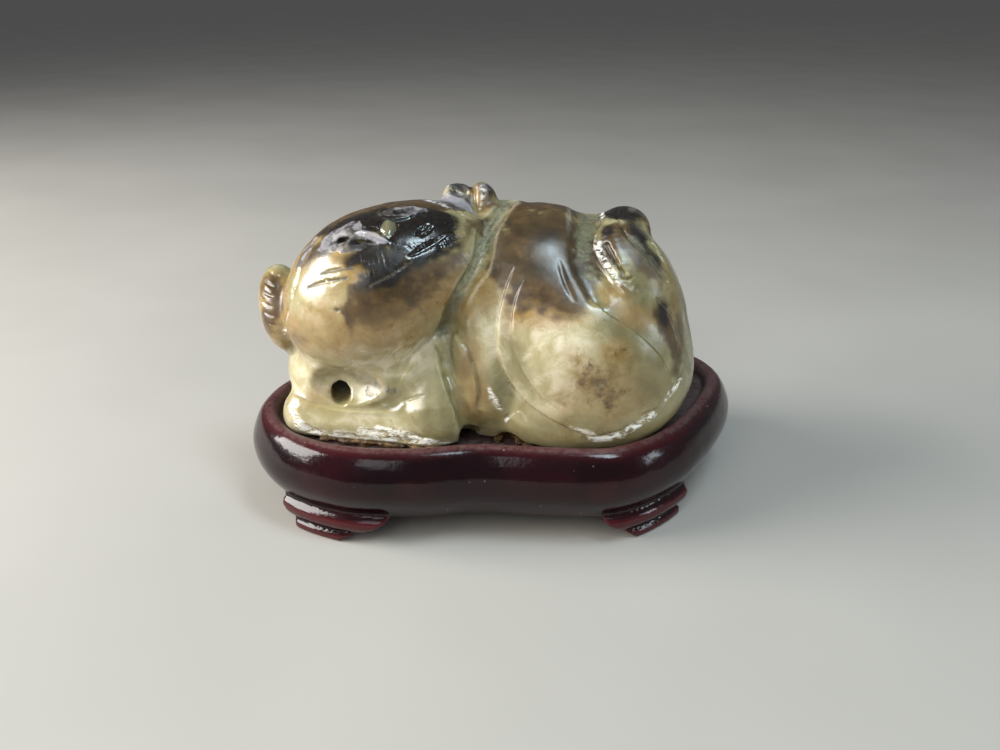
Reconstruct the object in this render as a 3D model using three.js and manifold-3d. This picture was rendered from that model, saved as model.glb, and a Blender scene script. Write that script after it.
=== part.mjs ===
// Small carved jade beast lying on its fitted wooden stand.
// Millimetres, +Z up. Origin on the table, under the middle of the stand.
// X runs along the beast: snout at -X, tail at +X. -Y is the carved show side.

import * as THREE from 'three';
import Module from 'manifold-3d';

// ---------------------------------------------------------------- sizes, mm
const JADE_BASE = 10.0;          // flat underside of the jade
const WELL_FLOOR = 9.7;          // floor of the well in the stand
const RIM_TOP = 11.2;            // top of the rolled rim
const BODY_UNDER = 2.6;          // underside of the stand's body
const BASE_EDGE = 0.5;           // softness of the jade's lower edge
const HOLE_RADIUS = 1.1;         // drilled cord hole
const HOLE_AT = [-18.1, 0, 15.0];
const HOLE_LENGTH = 32;
const JADE_SHIFT = 0.42;         // the jade lies a little towards the wide end
const JADE_CELL = 0.62;          // sampling step of the jade's surface
const JADE_FACES = 6300;         // facets kept on the jade

// ------------------------------------------------------------ jade: masses
// E = ellipsoid (centre, half sizes, turn in degrees about X, Y, Z)
// S = rounded limb (start, end, start radius, end radius)
// The last number is how softly it melts into the masses before it.
const MASSES = [
  ['barrel', 0, [['E', [3.6, 0.4, 21.4], [12.4, 10.8, 11.9], [0, 0, 0]]]],
  ['rump', 1.6, [
    ['E', [12.6, 1.2, 19.6], [8.7, 9.8, 12.2], [0, -15, 0]],
    ['E', [13.2, -0.4, 14.6], [8.6, 10.4, 6.8], [0, -10, 8], 2],
  ]],
  ['haunch', 2.4, [
    ['E', [8.6, -6.2, 18], [11, 8.2, 9.8], [0, 34, 0]],
    ['E', [7.4, -7.6, 13.2], [9.6, 6.2, 5.4], [0, 0, -4], 2.4],
  ]],
  ['far_haunch', 1.2, [['E', [8.6, 5.6, 17.2], [10.6, 6.6, 9], [0, 30, 0]]]],
  ['belly', 0.8, [['E', [-1.6, -4.6, 17.4], [5.4, 6.6, 10.4], [0, -4, 0]]]],
  ['tail', 1, [
    ['E', [14, -2.4, 24], [5, 6.4, 8.4], [0, -22, 0]],
    ['E', [13.8, 1.8, 30], [2.9, 3.4, 2.5], [0, 0, 0], 0.6],
  ]],
  ['chest', 1.6, [['E', [-13.8, -0.2, 16], [10.6, 8.8, 8.4], [0, -10, 0]]]],
  ['foreleg', 1.2, [['S', [-8, -4.4, 20.4], [-7.2, -6.8, 13.4], 2.6, 4.6]]],
  ['paw', 0.9, [['S', [-8.4, -7.2, 11.4], [-21.6, -4.2, 11.6], 3.9, 3.2]]],
  ['far_foreleg', 1.2, [['S', [-7.6, 4.6, 20.4], [-7.4, 6.6, 13.4], 2.6, 4.2]]],
  ['far_paw', 0.9, [['S', [-8, 6.2, 12], [-19.6, 5, 11.6], 4, 3.4]]],
  ['head', 1.3, [
    ['E', [-14.3, -2.8, 25], [10.2, 8.8, 8.3], [0, -37, 0]],
    ['E', [-8.4, -1.4, 27.8], [7.2, 7.4, 6], [0, -30, 0], 3],
  ]],
  ['neck', 1.2, [
    ['S', [0.6, 1.5, 31.3], [-1.7, -2.5, 29.8], 2.3, 2.3],
    ['S', [-1.7, -2.5, 29.8], [-2.8, -5.2, 27.5], 2.3, 2.3, 0],
    ['S', [-2.8, -5.2, 27.5], [-4.7, -6.1, 25.9], 2.3, 2.3, 0],
    ['S', [-4.7, -6.1, 25.9], [-6, -5.9, 23.9], 2.3, 2, 0],
    ['S', [0.6, 1.5, 31.3], [-3, 6.2, 27.5], 2.3, 2, 0],
  ]],
  ['snout', 0.9, [['E', [-24.3, 0.7, 22.2], [2.6, 4.8, 4.9], [0, -8, 0]]]],
  ['horn', 0.8, [
    ['E', [-4.7, 3.2, 33.4], [1.9, 2.2, 1.8], [0, 10, 0]],
    ['E', [-4.2, 1.8, 31.2], [2.3, 2.2, 3.2], [0, -34, 0], 0.8],
    ['E', [-1.9, 3.4, 32.9], [1.6, 2.2, 2.3], [0, -8, 0], 0.6],
    ['E', [-2, 2.4, 30], [2.6, 2.8, 3.2], [0, -10, 0], 0.8],
  ]],
];

// ---------------------------------------------------- jade: carved hollows
// E = scooped ellipsoid, P = round-nosed cut swept through a few points
// (points, start radius, end radius, edge softness).
const HOLLOWS = [
  ['chin_hollow', 'E', [-19.4, -10.9, 16.3], [6.6, 4.9, 2.8], [0, -4, 0], 0.3],
  ['far_chin_hollow', 'E', [-18.6, 10.6, 16.2], [6, 4, 2.6], [0, -4, 0], 0.6],
  ['horn_hollow', 'E', [-4.6, 2, 35], [1.3, 1.9, 1], [0, 12, 0], 0.3],
  ['neck_groove', 'P',
    [[0.6, 1.5, 33.9], [-1.9, -3.7, 32.1], [-2.9, -7.1, 29.2], [-4.7, -8.5, 26.8], [-6, -8.5, 24.2], [-6.7, -7.3, 21.8]],
    1.05, 0.85, 0.35],
  ['belly_crease', 'P',
    [[-6.7, -7.1, 22.2], [-6.7, -8.5, 18.9], [-5.5, -10.6, 15.5], [-4.6, -10.6, 11.6]],
    0.7, 1, 0.4],
  ['shoulder_crease', 'P',
    [[-7, -8.6, 22.6], [-9, -8.6, 20.4], [-10.8, -9.1, 17.9], [-11.7, -9.4, 15.4]],
    0.8, 0.8, 0.5],
  ['thigh_lip', 'P',
    [[0.5, -8.2, 28.3], [-1.3, -9.7, 24.5], [-1.4, -10.9, 21], [0.2, -11.4, 16.9], [3.4, -13.4, 14.1], [7.3, -14.1, 12.4]],
    0.5, 0.35, 0.15],
  ['thigh_bead', 'P',
    [[0.8, -9.6, 27.9], [-0.2, -10.6, 25.3], [-0.4, -11.7, 21.7], [1.2, -12.9, 18], [3.7, -14.2, 15.8]],
    1.2, 0.8, 0.3],
  ['rump_groove', 'P',
    [[10.6, 3, 33.6], [9.7, 2, 32.9], [8.3, -5, 31.7], [7.7, -7.9, 29.6], [8.6, -11, 26.9], [10, -12.4, 25], [13.4, -12.5, 22.5], [15.7, -12.1, 19.6], [16.6, -11.6, 16.2]],
    1.9, 0.7, 0.3],
  ['foot_line', 'P',
    [[3.8, -14, 15.8], [6.7, -14.6, 13.4], [10.1, -14.2, 11.9], [13.5, -13.2, 12]],
    0.6, 0.4, 0.3],
  ['under_gap', 'P',
    [[-4.2, -13, 10.6], [-4.6, -7.5, 10.8]],
    1.5, 1, 0.3],
  ['foot_notch', 'P',
    [[-0.4, -13, 9.6], [-0.2, -9.5, 9.6]],
    1.7, 1.4, 0.3],
];

// ----------------------------------------------------------- small algebra
const DEG = Math.PI / 180;

function turned([a, b, c]) {
  const e = new THREE.Matrix4().makeRotationFromEuler(
    new THREE.Euler(a * DEG, b * DEG, c * DEG, 'ZYX')).elements;
  return [e[0], e[1], e[2], e[4], e[5], e[6], e[8], e[9], e[10]];
}

function ellipsoid(c, r, t) {
  const m = turned(t);
  const [rx, ry, rz] = r;
  return (x, y, z) => {
    const px = x - c[0], py = y - c[1], pz = z - c[2];
    const u = (m[0] * px + m[1] * py + m[2] * pz) / rx;
    const v = (m[3] * px + m[4] * py + m[5] * pz) / ry;
    const w = (m[6] * px + m[7] * py + m[8] * pz) / rz;
    const k0 = Math.hypot(u, v, w);
    const k1 = Math.hypot(u / rx, v / ry, w / rz);
    return k0 * (k0 - 1) / Math.max(k1, 1e-6);
  };
}

function limb(a, b, ra, rb) {
  const dx = b[0] - a[0], dy = b[1] - a[1], dz = b[2] - a[2];
  const dd = dx * dx + dy * dy + dz * dz;
  return (x, y, z) => {
    const px = x - a[0], py = y - a[1], pz = z - a[2];
    const h = Math.min(1, Math.max(0, (px * dx + py * dy + pz * dz) / dd));
    return Math.hypot(px - h * dx, py - h * dy, pz - h * dz) - (ra + (rb - ra) * h);
  };
}

function join(a, b, k) {
  if (k <= 0) return Math.min(a, b);
  const h = Math.max(k - Math.abs(a - b), 0) / k;
  return Math.min(a, b) - h * h * k / 4;
}
const carve = (a, b, k) => -join(-a, b, k);      // a without b

// smooth curve through a few points, n steps a span
function through(pts, n) {
  const P = pts.map((p) => new THREE.Vector3(...p));
  const first = P[0].clone().multiplyScalar(2).sub(P[1]);
  const last = P[P.length - 1].clone().multiplyScalar(2).sub(P[P.length - 2]);
  const c = [first, ...P, last];
  const out = [];
  for (let i = 1; i < c.length - 2; i++) {
    for (let k = 0; k < n; k++) {
      const t = k / n, [a, b, d, e] = c.slice(i - 1, i + 3);
      const f = (key) => 0.5 * (2 * b[key] + (d[key] - a[key]) * t
        + (2 * a[key] - 5 * b[key] + 4 * d[key] - e[key]) * t * t
        + (-a[key] + 3 * b[key] - 3 * d[key] + e[key]) * t * t * t);
      out.push([f('x'), f('y'), f('z')]);
    }
  }
  out.push(c[c.length - 2].toArray());
  return out;
}

function swept(pts, r0, r1) {
  const line = through(pts, 3), n = line.length - 1, parts = [];
  for (let i = 0; i < n; i++) {
    parts.push(limb(line[i], line[i + 1], r0 + (r1 - r0) * i / n, r0 + (r1 - r0) * (i + 1) / n));
  }
  return (x, y, z) => {
    let d = Infinity;
    for (const f of parts) d = Math.min(d, f(x, y, z));
    return d;
  };
}

// ------------------------------------------------------- jade: whole shape
const masses = MASSES.map(([, soft, list]) => ({
  soft,
  list: list.map((q) => (q[0] === 'E'
    ? { f: ellipsoid(q[1], q[2], q[3]), k: q[4] ?? 0 }
    : { f: limb(q[1], q[2], q[3], q[4]), k: q[5] ?? 0 })),
}));
const cuts = HOLLOWS.map((q) => (q[1] === 'E'
  ? { f: ellipsoid(q[2], q[3], q[4]), k: q[5] }
  : { f: swept(q[2], q[3], q[4]), k: q[5] }));

function jade(x, y, z) {
  let d = null;
  for (const m of masses) {
    let s = null;
    for (const { f, k } of m.list) s = s === null ? f(x, y, z) : join(s, f(x, y, z), k);
    d = d === null ? s : join(d, s, m.soft);
  }
  d = -join(-d, z - JADE_BASE, BASE_EDGE);        // flat underside
  for (const { f, k } of cuts) d = carve(d, f(x, y, z), k);
  return d;
}

// ------------------------------------------- surface of a shape, as facets
// Each cell is split into six tetrahedra, which always gives a closed skin.
function skin(shape, low, high, h) {
  const n = [0, 1, 2].map((i) => Math.ceil((high[i] - low[i]) / h) + 1);
  const id = (i, j, k) => (k * n[1] + j) * n[0] + i;
  const val = new Float64Array(n[0] * n[1] * n[2]);
  for (let k = 0; k < n[2]; k++) for (let j = 0; j < n[1]; j++) for (let i = 0; i < n[0]; i++) {
    const v = shape(low[0] + i * h, low[1] + j * h, low[2] + k * h);
    val[id(i, j, k)] = Math.abs(v) < 1e-5 ? 1e-5 : v;
  }
  const orders = [[1, 2, 4], [1, 4, 2], [2, 1, 4], [2, 4, 1], [4, 1, 2], [4, 2, 1]];
  const step = (b) => (b & 1) + ((b >> 1) & 1) * n[0] + ((b >> 2) & 1) * n[0] * n[1];
  const at = (v) => [v % n[0], Math.floor(v / n[0]) % n[1], Math.floor(v / (n[0] * n[1]))];
  const points = [], faces = [], known = new Map();
  const cross = (a, b) => {
    const lo = Math.min(a, b), hi = Math.max(a, b), key = lo * 8192 * 8 + (hi - lo);
    if (known.has(key)) return known.get(key);
    const t = Math.min(0.97, Math.max(0.03, val[lo] / (val[lo] - val[hi])));
    const p = at(lo), q = at(hi);
    const v = points.push([0, 1, 2].map((i) => low[i] + h * (p[i] + (q[i] - p[i]) * t))) - 1;
    known.set(key, v);
    return v;
  };
  const face = (a, b, c, inner) => {
    const [A, B, C] = [points[a], points[b], points[c]];
    const w = at(inner).map((s, i) => low[i] + s * h - A[i]);
    const u = [0, 1, 2].map((i) => B[i] - A[i]), v = [0, 1, 2].map((i) => C[i] - A[i]);
    const det = (u[1] * v[2] - u[2] * v[1]) * w[0] + (u[2] * v[0] - u[0] * v[2]) * w[1]
      + (u[0] * v[1] - u[1] * v[0]) * w[2];
    faces.push(det < 0 ? [a, b, c] : [a, c, b]);
  };
  for (let k = 0; k < n[2] - 1; k++) for (let j = 0; j < n[1] - 1; j++) for (let i = 0; i < n[0] - 1; i++) {
    const o = id(i, j, k);
    for (const [a, b] of orders) {
      const t = [o, o + step(a), o + step(a | b), o + step(7)];
      const inn = t.filter((v) => val[v] < 0), out = t.filter((v) => val[v] >= 0);
      if (inn.length === 1) face(...out.map((v) => cross(inn[0], v)), inn[0]);
      else if (inn.length === 3) face(...inn.map((v) => cross(v, out[0])), inn[0]);
      else if (inn.length === 2) {
        const [p, q, r, s] = [cross(inn[0], out[0]), cross(inn[0], out[1]),
          cross(inn[1], out[1]), cross(inn[1], out[0])];
        face(p, q, r, inn[0]);
        face(p, r, s, inn[0]);
      }
    }
  }
  return { points, faces };
}

// --------------------------------------- fewer facets, where it is smooth
// Edges whose loss moves the surface least are closed first.
function thin({ points, faces }, want) {
  const V = points.map((p) => p.slice()), T = faces.map((f) => f.slice());
  const Q = V.map(() => new Float64Array(10)), use = V.map(() => new Set());
  const stamp = new Int32Array(V.length), alive = new Uint8Array(T.length).fill(1);
  const normal = (a, b, c) => {
    const u = [b[0] - a[0], b[1] - a[1], b[2] - a[2]], v = [c[0] - a[0], c[1] - a[1], c[2] - a[2]];
    return [u[1] * v[2] - u[2] * v[1], u[2] * v[0] - u[0] * v[2], u[0] * v[1] - u[1] * v[0]];
  };
  T.forEach((f, i) => {
    const m = normal(...f.map((v) => V[v])), len = Math.hypot(...m) || 1e-12;
    const [a, b, c] = m.map((s) => s / len), p = V[f[0]], d = -(a * p[0] + b * p[1] + c * p[2]);
    const q = [a * a, a * b, a * c, a * d, b * b, b * c, b * d, c * c, c * d, d * d];
    for (const v of f) { use[v].add(i); for (let k = 0; k < 10; k++) Q[v][k] += q[k] * len; }
  });
  const cost = (q, [x, y, z]) => q[0] * x * x + 2 * q[1] * x * y + 2 * q[2] * x * z + 2 * q[3] * x
    + q[4] * y * y + 2 * q[5] * y * z + 2 * q[6] * y + q[7] * z * z + 2 * q[8] * z + q[9];
  const best = (a, b) => {
    const q = Q[a].map((s, k) => s + Q[b][k]);
    const A = V[a], B = V[b], mid = [0, 1, 2].map((i) => (A[i] + B[i]) / 2);
    const reach = Math.hypot(A[0] - B[0], A[1] - B[1], A[2] - B[2]);
    const tries = [mid, A, B];
    const det = q[0] * (q[4] * q[7] - q[5] * q[5]) - q[1] * (q[1] * q[7] - q[5] * q[2])
      + q[2] * (q[1] * q[5] - q[4] * q[2]);
    if (Math.abs(det) > 1e-7) {
      const [i, j, k] = [-q[3], -q[6], -q[8]];
      const p = [
        (i * (q[4] * q[7] - q[5] * q[5]) - q[1] * (j * q[7] - q[5] * k) + q[2] * (j * q[5] - q[4] * k)) / det,
        (q[0] * (j * q[7] - k * q[5]) - i * (q[1] * q[7] - q[5] * q[2]) + q[2] * (q[1] * k - j * q[2])) / det,
        (q[0] * (q[4] * k - q[5] * j) - q[1] * (q[1] * k - j * q[2]) + i * (q[1] * q[5] - q[4] * q[2])) / det];
      if (Math.hypot(p[0] - mid[0], p[1] - mid[1], p[2] - mid[2]) < reach) tries.unshift(p);
    }
    let at = null, least = Infinity;
    for (const p of tries) { const c = cost(q, p); if (c < least - 1e-12) { least = c; at = p; } }
    return { at, c: Math.max(0, least) + 1e-4 * reach * reach };
  };
  // heap of candidate edges, cheapest first
  const heap = [];
  const put = (e) => {
    let i = heap.push(e) - 1;
    while (i > 0) { const p = (i - 1) >> 1; if (heap[p].c <= e.c) break; heap[i] = heap[p]; i = p; }
    heap[i] = e;
  };
  const take = () => {
    const top = heap[0], e = heap.pop();
    if (heap.length) {
      let i = 0;
      for (;;) {
        let k = 2 * i + 1; if (k >= heap.length) break;
        if (k + 1 < heap.length && heap[k + 1].c < heap[k].c) k++;
        if (heap[k].c >= e.c) break;
        heap[i] = heap[k]; i = k;
      }
      heap[i] = e;
    }
    return top;
  };
  const offer = (a, b) => { const s = best(a, b); put({ a, b, sa: stamp[a], sb: stamp[b], ...s }); };
  const ring = (a) => { const s = new Set(); for (const f of use[a]) for (const v of T[f]) if (v !== a) s.add(v); return s; };
  for (let a = 0; a < V.length; a++) for (const b of ring(a)) if (a < b) offer(a, b);
  let left = T.length;
  while (left > want && heap.length) {
    const { a, b, sa, sb, at } = take();
    if (stamp[a] !== sa || stamp[b] !== sb) continue;
    const ra = ring(a), rb = ring(b);
    let shared = 0; for (const v of ra) if (rb.has(v)) shared++;
    if (!ra.has(b) || shared !== 2) continue;
    let good = true;
    for (const [v, w] of [[a, b], [b, a]]) for (const f of use[v]) {
      if (T[f].includes(w)) continue;
      const o = T[f].map((s) => V[s]), m = T[f].map((s) => (s === v ? at : V[s]));
      const n0 = normal(...o), n1 = normal(...m), l0 = Math.hypot(...n0), l1 = Math.hypot(...n1);
      const e = Math.max(...[0, 1, 2].map((i) => { const p = m[i], q = m[(i + 1) % 3]; return (p[0] - q[0]) ** 2 + (p[1] - q[1]) ** 2 + (p[2] - q[2]) ** 2; }));
      if (n0[0] * n1[0] + n0[1] * n1[1] + n0[2] * n1[2] < 0.3 * l0 * l1 || l1 < 0.06 * e) { good = false; break; }
    }
    if (!good) continue;
    V[a] = at; for (let k = 0; k < 10; k++) Q[a][k] += Q[b][k];
    for (const f of [...use[b]]) {
      if (T[f].includes(a)) { alive[f] = 0; left--; for (const v of T[f]) use[v].delete(f); } else { T[f] = T[f].map((v) => (v === b ? a : v)); use[a].add(f); }
    }
    use[b].clear(); stamp[b] = -1; stamp[a]++;
    const around = ring(a);
    for (const v of around) offer(a, v);
  }
  const name = new Map(), P = [], out = [];
  T.forEach((f, i) => {
    if (alive[i]) out.push(f.map((v) => { if (!name.has(v)) name.set(v, P.push(V[v]) - 1); return name.get(v); }));
  });
  return { points: P, faces: out };
}

// ------------------------------------------------------------ stand: plan
// Edge of the rim in plan, wider under the haunches, with a faint waist.
const PLAN = [
  [26.75, 3.0], [24.0, -3.5], [17.4, -11.8], [10.4, -15.6], [2.8, -14.9], [-4.4, -13.7],
  [-11.5, -14.0], [-19.2, -12.4], [-25.2, -7.8], [-27.6, -1.2], [-26.0, 5.4], [-20.6, 11.0],
  [-12.2, 13.2], [-3.4, 12.8], [5.6, 14.2], [14.2, 15.4], [21.7, 13.2], [25.8, 8.6],
];
const PLAN_SHIFT = [0.503, 0.153];   // brings the middle of the plan onto the origin
const PLAN_STEPS = 70;
// Section of the body from the underside, over the bulge, to the well:
// (distance out from the rim's edge, height)
const SECTION = [
  [-2.7, BODY_UNDER], [-1.3, 2.75], [-0.25, 3.5], [0.8, 4.9], [1.45, 6.4], [1.5, 8.0],
  [1.05, 9.4], [0.45, 10.5], [-0.1, 11.0], [-0.7, RIM_TOP], [-1.2, RIM_TOP - 0.1],
  [-1.55, 10.7], [-1.7, 10.2], [-1.8, WELL_FLOOR],
];
// Foot: (height, distance out, how far the ends have drawn in), a roll over a
// flared toe
const FOOT_SECTION = [
  [0.0, 0.2, 6.0], [0.3, 0.4, 5.6], [0.8, 0.3, 4.7], [1.15, -0.05, 4.1],
  [1.5, 0.3, 3.2], [2.1, 0.7, 2.0], [2.8, 0.75, 0.9], [3.5, 0.2, 0.2], [4.4, -0.9, 0.0],
];
const FOOT_DEPTH = 7.0;
// where along the rim's edge each foot starts and ends (parts of a turn), and
// how much each of the two ends draws in towards the table
const FEET = {
  front_left: [0.352, 0.450, 1.0, 0.35], front_right: [0.103, 0.195, 0.2, 0.75],
  back_left: [0.545, 0.655, 0.25, 0.9], back_right: [0.865, 0.965, 0.9, 0.25],
};

const planCurve = new THREE.CatmullRomCurve3(
  PLAN.map(([x, y]) => new THREE.Vector3(x + PLAN_SHIFT[0], y + PLAN_SHIFT[1], 0)), true, 'centripetal');
planCurve.arcLengthDivisions = 2000;

// point at part s of the rim's edge, moved out by d, at height z
function edgePoint(s, d, z) {
  const u = ((s % 1) + 1) % 1, p = planCurve.getPointAt(u), t = planCurve.getTangentAt(u);
  // the plan is drawn clockwise seen from above, so its left side is outside
  return [p.x - t.y * d, p.y + t.x * d, z];
}

// closed body from rings of equal length, lowest or innermost first
function loft(rings, capStart, capEnd) {
  const m = rings[0].length, points = rings.flat(), faces = [];
  for (let i = 0; i < rings.length - 1; i++) for (let j = 0; j < m; j++) {
    const a = i * m + j, b = i * m + (j + 1) % m, c = a + m, d = b + m;
    faces.push([a, b, d], [a, d, c]);
  }
  capStart(points, faces, m, 0, 1);
  capEnd(points, faces, m, (rings.length - 1) * m, -1);
  return { points, faces };
}
// cap by a smaller ring inside the last one, then a middle point
function discCap(points, faces, m, first, side) {
  const push = (a, b, c) => faces.push(side > 0 ? [a, c, b] : [a, b, c]);
  let mx = 0, my = 0;
  for (let j = 0; j < m; j++) { mx += points[first + j][0] / m; my += points[first + j][1] / m; }
  const z = points[first][2], inner = points.length, half = m / 2;
  for (let j = 0; j < half; j++) {
    const p = points[first + 2 * j];
    points.push([mx + (p[0] - mx) * 0.55, my + (p[1] - my) * 0.55, z]);
  }
  const mid = points.push([mx, my, z]) - 1;
  for (let j = 0; j < half; j++) {
    const a = first + 2 * j, b = a + 1, c = first + (2 * j + 2) % m;
    const p = inner + j, q = inner + (j + 1) % half;
    push(a, b, p); push(b, c, q); push(b, q, p); push(p, q, mid);
  }
}
// cap of a curved band: outer half of the ring against its inner half
function bandCap(points, faces, m, first, side) {
  const push = (a, b, c) => faces.push(side > 0 ? [a, c, b] : [a, b, c]);
  const n = m / 2;
  for (let j = 0; j < n - 1; j++) {
    const a = first + j, b = a + 1, d = first + m - 1 - j, c = d - 1;
    push(a, b, c); push(a, c, d);
  }
}

function geometry({ points, faces }) {
  const g = new THREE.BufferGeometry();
  let volume = 0;
  for (const [a, b, c] of faces) {
    const [A, B, C] = [points[a], points[b], points[c]];
    volume += A[0] * (B[1] * C[2] - B[2] * C[1]) + A[1] * (B[2] * C[0] - B[0] * C[2]) + A[2] * (B[0] * C[1] - B[1] * C[0]);
  }
  const index = faces.flatMap(([a, b, c]) => (volume > 0 ? [a, b, c] : [a, c, b]));
  g.setAttribute('position', new THREE.BufferAttribute(new Float32Array(points.flat()), 3));
  g.setIndex(index);
  return g;
}

// ---------------------------------------------------------- joins and cuts
const wasm = await Module();
wasm.setup();

function solid(g) {
  const mesh = new wasm.Mesh({
    numProp: 3,
    vertProperties: new Float32Array(g.attributes.position.array),
    triVerts: new Uint32Array(g.index.array),
  });
  mesh.merge();
  return new wasm.Manifold(mesh);
}
function fromSolid(s) {
  const m = s.getMesh(), g = new THREE.BufferGeometry(), n = m.numProp;
  const pos = new Float32Array(m.vertProperties.length / n * 3);
  for (let i = 0; i < pos.length / 3; i++) for (let k = 0; k < 3; k++) pos[3 * i + k] = m.vertProperties[n * i + k];
  g.setAttribute('position', new THREE.BufferAttribute(pos, 3));
  g.setIndex(Array.from(m.triVerts));
  g.computeVertexNormals();
  return g;
}

// ------------------------------------------------------------------- jade
const jadeSkin = thin(skin(jade, [-30, -17, 8.7], [27, 15, 37.5], JADE_CELL), JADE_FACES);
const drill = new THREE.CylinderGeometry(HOLE_RADIUS, HOLE_RADIUS, HOLE_LENGTH, 14, 1);
drill.translate(...HOLE_AT);
drill.deleteAttribute('normal');
drill.deleteAttribute('uv');
const jadeSolid = solid(geometry(jadeSkin)).subtract(solid(drill));

// ------------------------------------------------------------------ stand
const rings = SECTION.map(([d, z]) => {
  const ring = [];
  for (let j = 0; j < PLAN_STEPS; j++) ring.push(edgePoint(j / PLAN_STEPS, d, z));
  return ring;
});
let standSolid = solid(geometry(loft(rings, discCap, discCap)));
const around = planCurve.getLength();
for (const [from, to, drawFrom, drawTo] of Object.values(FEET)) {
  const levels = FOOT_SECTION.map(([z, d, draw]) => {
    const a = from + draw * drawFrom / around, b = to - draw * drawTo / around, n = 8;
    const outer = [], inner = [];
    for (let j = 0; j < n; j++) {
      const s = a + (b - a) * j / (n - 1);
      outer.push(edgePoint(s, d, z));
      inner.unshift(edgePoint(s, -FOOT_DEPTH + draw * 0.3, z));
    }
    return [...outer, ...inner];
  });
  standSolid = standSolid.add(solid(geometry(loft(levels, bandCap, bandCap))));
}

// --------------------------------------------------------------- the group
const object = new THREE.Group();

const beast = new THREE.Mesh(fromSolid(jadeSolid),
  new THREE.MeshStandardMaterial({ color: 0xb7ae83, roughness: 0.22, metalness: 0 }));
beast.name = 'jade_beast';
beast.position.x = JADE_SHIFT;
object.add(beast);

const stand = new THREE.Mesh(fromSolid(standSolid),
  new THREE.MeshStandardMaterial({ color: 0x3a1014, roughness: 0.28, metalness: 0 }));
stand.name = 'wooden_stand';
object.add(stand);

export default object;
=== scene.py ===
import math
import bpy
import numpy as np
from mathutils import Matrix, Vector


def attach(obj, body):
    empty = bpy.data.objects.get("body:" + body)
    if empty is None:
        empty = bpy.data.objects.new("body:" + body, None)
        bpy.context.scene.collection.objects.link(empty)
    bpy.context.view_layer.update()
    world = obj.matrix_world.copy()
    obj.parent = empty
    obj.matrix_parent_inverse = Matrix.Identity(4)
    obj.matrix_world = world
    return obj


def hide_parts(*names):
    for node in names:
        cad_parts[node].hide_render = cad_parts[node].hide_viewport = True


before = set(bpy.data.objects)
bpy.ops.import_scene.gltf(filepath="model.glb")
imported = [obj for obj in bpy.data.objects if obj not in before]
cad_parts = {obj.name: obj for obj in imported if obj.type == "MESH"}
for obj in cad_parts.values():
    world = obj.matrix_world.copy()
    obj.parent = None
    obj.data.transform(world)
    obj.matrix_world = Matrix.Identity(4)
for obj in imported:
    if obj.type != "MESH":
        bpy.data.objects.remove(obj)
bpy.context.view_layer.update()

MM = 0.001
F = np.float32


# ---------------------------------------------------------------- small algebra
def turned(t):
    a, b, c = np.radians(t)
    X = np.array([[1, 0, 0], [0, np.cos(a), -np.sin(a)], [0, np.sin(a), np.cos(a)]])
    Y = np.array([[np.cos(b), 0, np.sin(b)], [0, 1, 0], [-np.sin(b), 0, np.cos(b)]])
    Z = np.array([[np.cos(c), -np.sin(c), 0], [np.sin(c), np.cos(c), 0], [0, 0, 1]])
    return (Z @ Y @ X).astype(F)


def ellipsoid(P, c, r, t=(0, 0, 0)):
    q = (P - F(c)) @ turned(t)
    r = F(r)
    a = q / r
    k0 = np.sqrt((a * a).sum(1))
    a /= r
    k1 = np.sqrt((a * a).sum(1))
    return k0 * (k0 - 1) / np.maximum(k1, F(1e-6))


def limb(P, a, b, ra, rb):
    a = F(a)
    d = F(b) - a
    q = P - a
    h = np.clip((q @ d) / max(float(d @ d), 1e-9), 0, 1)
    w = q - h[:, None] * d
    return np.sqrt((w * w).sum(1)) - (F(ra) + F(rb - ra) * h)


def join(a, b, k):
    if k <= 0:
        return np.minimum(a, b)
    h = np.maximum(k - np.abs(a - b), 0) / F(k)
    return np.minimum(a, b) - h * h * F(k) * F(0.25)


def carve(a, b, k):
    return -join(-a, b, k)


def through(ctrl, n):
    """A smooth curve through a few points, n steps a span."""
    c = [np.array(p, float) for p in ctrl]
    c = [2 * c[0] - c[1]] + c + [2 * c[-1] - c[-2]]
    out = []
    for i in range(1, len(c) - 2):
        for k in range(n):
            t = k / n
            a, b, d, e = c[i - 1], c[i], c[i + 1], c[i + 2]
            out.append(0.5 * ((2 * b) + (d - a) * t + (2 * a - 5 * b + 4 * d - e) * t * t
                              + (-a + 3 * b - 3 * d + e) * t ** 3))
    out.append(c[-2])
    return np.array(out)


def swept(P, line, radii):
    d = None
    for i in range(len(line) - 1):
        s = limb(P, line[i], line[i + 1], radii[i], radii[i + 1])
        d = s if d is None else np.minimum(d, s)
    return d


def hash3(i, j, k, seed):
    v = (i * 374761393 + j * 668265263 + k * 2147483647 + seed * 1274126177) & 0xFFFFFFFF
    v = ((v ^ (v >> 13)) * 1274126177) & 0xFFFFFFFF
    v = v ^ (v >> 16)
    return (v & 0xFFFFFF).astype(np.float32) / F(0xFFFFFF)


def noise(P, size, seed=0):
    """Smooth value noise, -1 to 1, features about `size` mm."""
    q = P / F(size)
    b = np.floor(q)
    f = q - b
    f = f * f * (3 - 2 * f)
    b = b.astype(np.int64)
    out = np.zeros(len(P), F)
    for dx in (0, 1):
        wx = f[:, 0] if dx else 1 - f[:, 0]
        for dy in (0, 1):
            wy = f[:, 1] if dy else 1 - f[:, 1]
            for dz in (0, 1):
                wz = f[:, 2] if dz else 1 - f[:, 2]
                out += wx * wy * wz * hash3(b[:, 0] + dx, b[:, 1] + dy, b[:, 2] + dz, seed)
    return out * 2 - 1


JADE_BASE = 10        # flat underside of the jade
BASE_EDGE = 0.5
HOLE_RADIUS = 1.1
HOLE = ((-18.1, -16, 15.0), (-18.1, 16, 15.0))

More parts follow.
